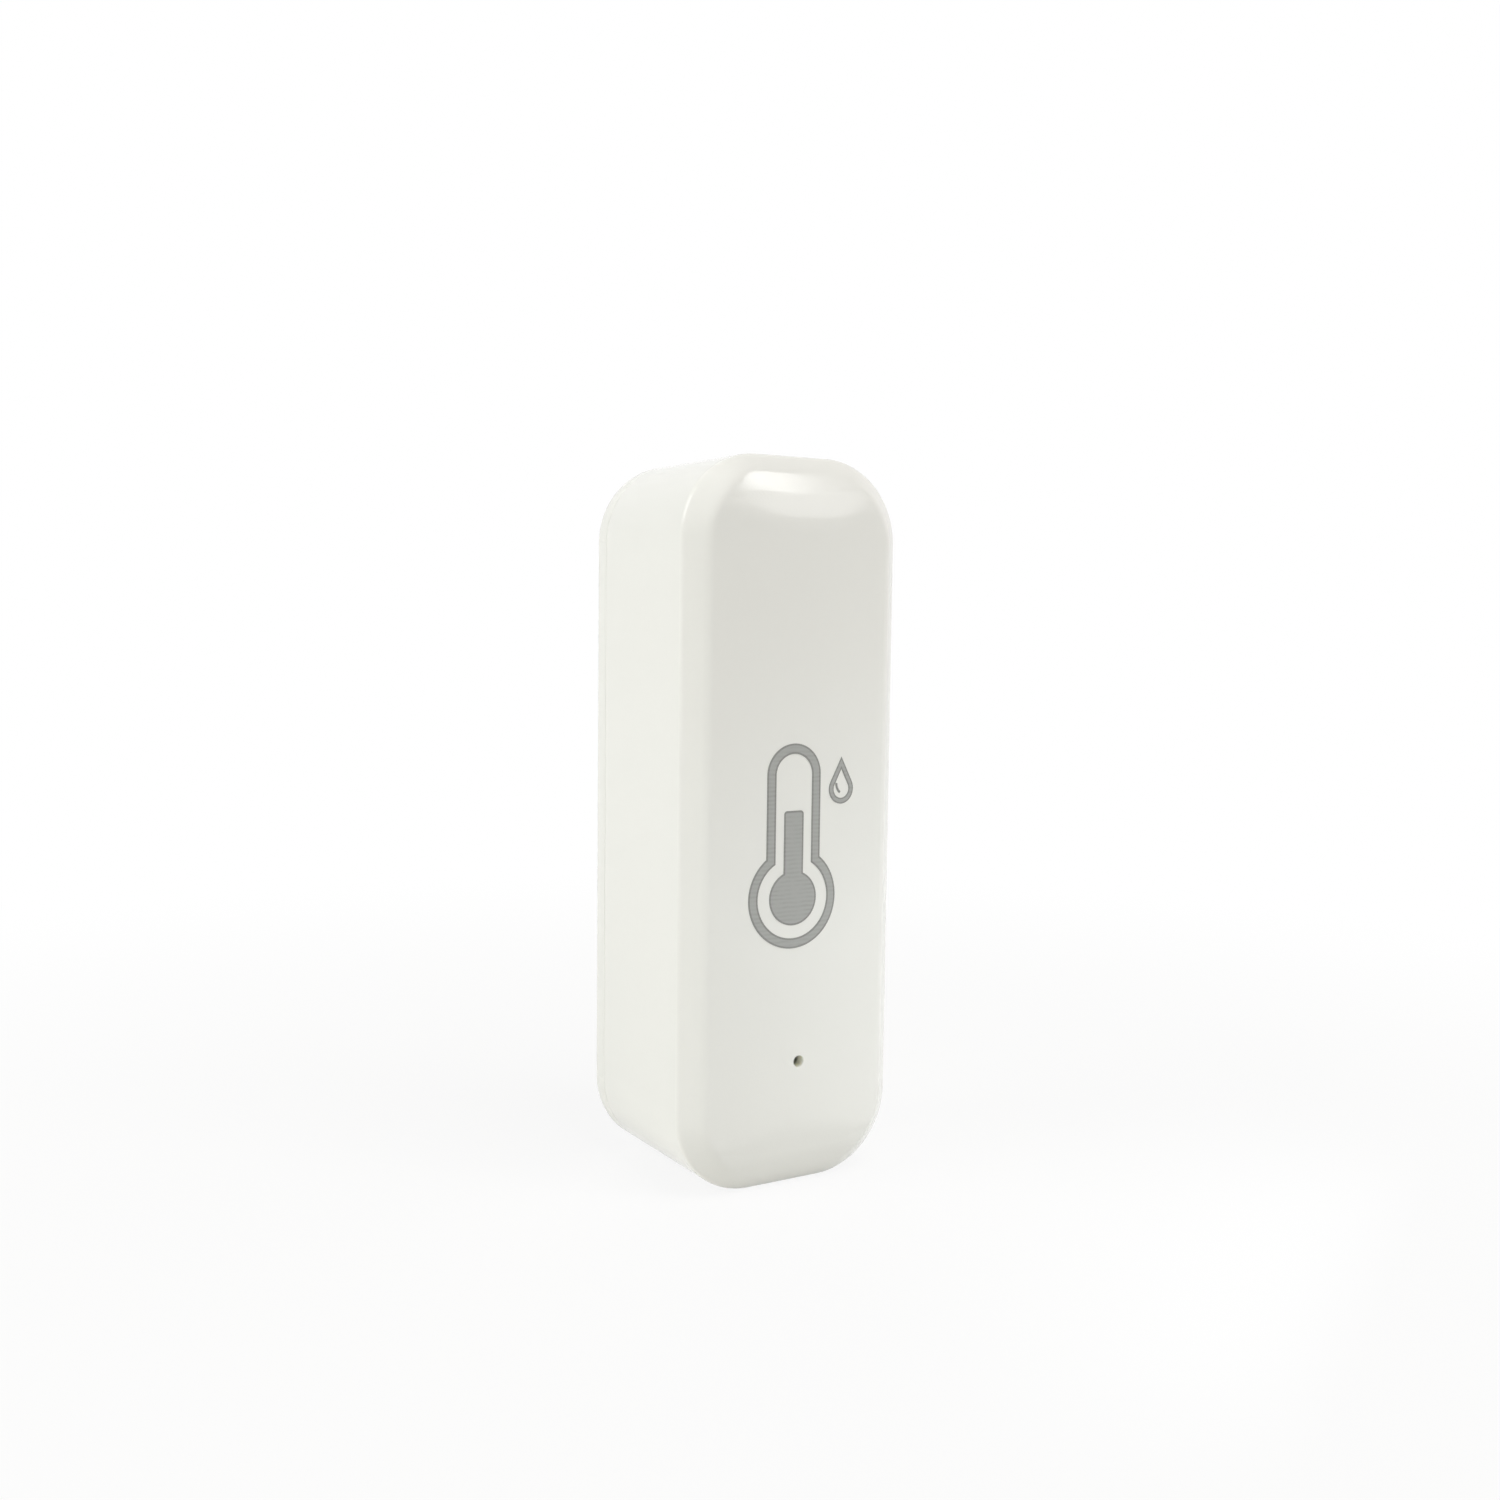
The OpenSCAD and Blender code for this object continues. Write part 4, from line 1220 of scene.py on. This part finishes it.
# %% [markdown]
# ## Studio
# The object stands on a pale floor against white. Large soft lamps stand round it at a plain level, so its
# colours render about as they are written. The world and the floor look white to the camera and in
# reflections through the Light Path node. Near the object the floor keeps a part of its own shading, which
# shows the shadow, and further out it fades to plain white, so no horizon shows.

# %% World
AMBIENT = 0.01


def math_node(tree, operation, first, second):
    node = tree.nodes.new("ShaderNodeMath")
    node.operation = operation
    tree.links.new(first, node.inputs[0])
    tree.links.new(second, node.inputs[1])
    return node.outputs[0]


def seen_ray(tree):
    """A factor that is 1 for camera, glossy and transmission rays."""
    path = tree.nodes.new("ShaderNodeLightPath")
    total = path.outputs["Is Camera Ray"]
    for name in ("Is Glossy Ray", "Is Transmission Ray"):
        total = math_node(tree, "MAXIMUM", total, path.outputs[name])
    return total


def shown_as(tree, factor, first, second, output):
    """Mixes two shaders by a factor and hands the mix to the output."""
    mix = tree.nodes.new("ShaderNodeMixShader")
    tree.links.new(factor, mix.inputs["Fac"])
    tree.links.new(first.outputs[0], mix.inputs[1])
    tree.links.new(second.outputs[0], mix.inputs[2])
    tree.links.new(mix.outputs[0], tree.nodes[output].inputs["Surface"])


world = bpy.data.worlds.new("studio")
world.use_nodes = True
bpy.context.scene.world = world
sky = world.node_tree
light_sky = sky.nodes["Background"]
light_sky.inputs["Color"].default_value = (1, 0.995, 0.98, 1)
light_sky.inputs["Strength"].default_value = AMBIENT
white_sky = sky.nodes.new("ShaderNodeBackground")
white_sky.inputs["Color"].default_value = (1, 1, 1, 1)
shown_as(sky, seen_ray(sky), light_sky, white_sky, "World Output")
print("the world lights the object with a strength of", AMBIENT)

# %% Floor
FLOOR_GLOW = 0.88
FLOOR_SIZE = 3
SHADOW_NEAR = 0.03
SHADOW_FAR = 0.2

pale = bpy.data.materials.new("studio_floor")
pale.use_nodes = True
tree = pale.node_tree
matt = tree.nodes.new("ShaderNodeBsdfDiffuse")
matt.inputs["Color"].default_value = (0.74, 0.735, 0.715, 1)
glow = tree.nodes.new("ShaderNodeEmission")
glow.inputs["Color"].default_value = (1, 1, 1, 1)
here = tree.nodes.new("ShaderNodeTexCoord")
distance = tree.nodes.new("ShaderNodeVectorMath")
distance.operation = "LENGTH"
tree.links.new(here.outputs["Object"], distance.inputs[0])
fade = ramp_node(tree, distance.outputs["Value"], SHADOW_NEAR, SHADOW_FAR, FLOOR_GLOW, 1)
fade.interpolation_type = "SMOOTHSTEP"
share = math_node(tree, "MULTIPLY", seen_ray(tree), fade.outputs["Result"])
shown_as(tree, share, matt, glow, "Material Output")

ground = bmesh.new()
bmesh.ops.create_grid(ground, x_segments=1, y_segments=1, size=FLOOR_SIZE)
floor_plane = add_object("studio_floor", as_mesh(ground, "studio_floor"))
floor_plane.data.materials.append(pale)
print("the floor fades to white from", SHADOW_NEAR, "to", SHADOW_FAR, "m")

# %% [markdown]
# ## Lamps
# Large soft boxes light the bar from the sides, from above and from behind, and a small low one in front does
# what a pale table does. Three lamps stand where the real ones stood: a slim strip with a weaker glow below
# it is mirrored in the rolled top of the front, and a square box in the crest at the top left. Only these
# three show in reflections, because a fill lamp that is mirrored too would lay a second highlight on the
# case.

# %% Lamps


def soft_lamp(name, place, aim, size, power, mirrored=False, lean=0.0, tint=(1, 1, 1)):
    """A soft box; place, aim and size (width, height) are in metres. Only a mirrored one shows as a
    highlight."""
    data = bpy.data.lights.new(name, "AREA")
    data.shape = "RECTANGLE"
    data.size, data.size_y = size
    data.energy = power
    data.color = tint
    lamp = add_object(name, data)
    lamp.location = place
    facing = (Vector(aim) - Vector(place)).to_track_quat("-Z", "Y").to_matrix()
    lamp.rotation_euler = (facing @ Matrix.Rotation(lean, 3, "Z")).to_euler()
    lamp.visible_glossy = mirrored
    lamp.visible_camera = False


target = to_frame @ bar_middle
foot = (0, 0, 0.005)
WARM = (1, 0.982, 0.975)
COOL = (0.985, 1, 1)
BLUISH = (0.86, 0.93, 1)
soft_lamp("left_box", (-0.487, 0.043, 0.14), target, (0.4, 0.4), 0.06)
soft_lamp("left_low", (-0.3, 0, 0.05), foot, (0.2, 0.08), 0.335, tint=COOL)
soft_lamp("right_box", (0.485, -0.086, 0.123), target, (0.4, 0.4), 0.44, tint=WARM)
soft_lamp("right_high", (0.231, -0.306, 0.357), target, (0.22, 0.11), 0.1)
soft_lamp("front_box", (-0.257, -0.428, 0.071), target, (0.3, 0.3), 0.03)
soft_lamp("front_high", (0.061, -0.227, 0.477), target, (0.3, 0.3), 1.45, tint=WARM)
soft_lamp("front_low", (0.03, -0.055, 0.017), (0, 0, 0.015), (0.06, 0.01), 0.0066, tint=BLUISH)
soft_lamp("top_box", (0, -0.02, 0.636), target, (0.5, 0.5), 0.38)
soft_lamp("back_box", (0.14, 0.47, 0.12), target, (0.4, 0.4), 1.4)
soft_lamp("key_strip", (0.256, -0.302, 0.382), target, (0.028, 0.19), 0.145, True, math.radians(-27))
soft_lamp("key_glow", (0.268, -0.38, 0.27), target, (0.12, 0.14), 0.105, True)
soft_lamp("crest_box", (-0.348, 0.052, 0.274), target, (0.19, 0.19), 0.47, True, tint=COOL)

# %% [markdown]
# ## Colour
# The Standard view shows colours as they are written.

bpy.context.scene.view_settings.view_transform = "Standard"
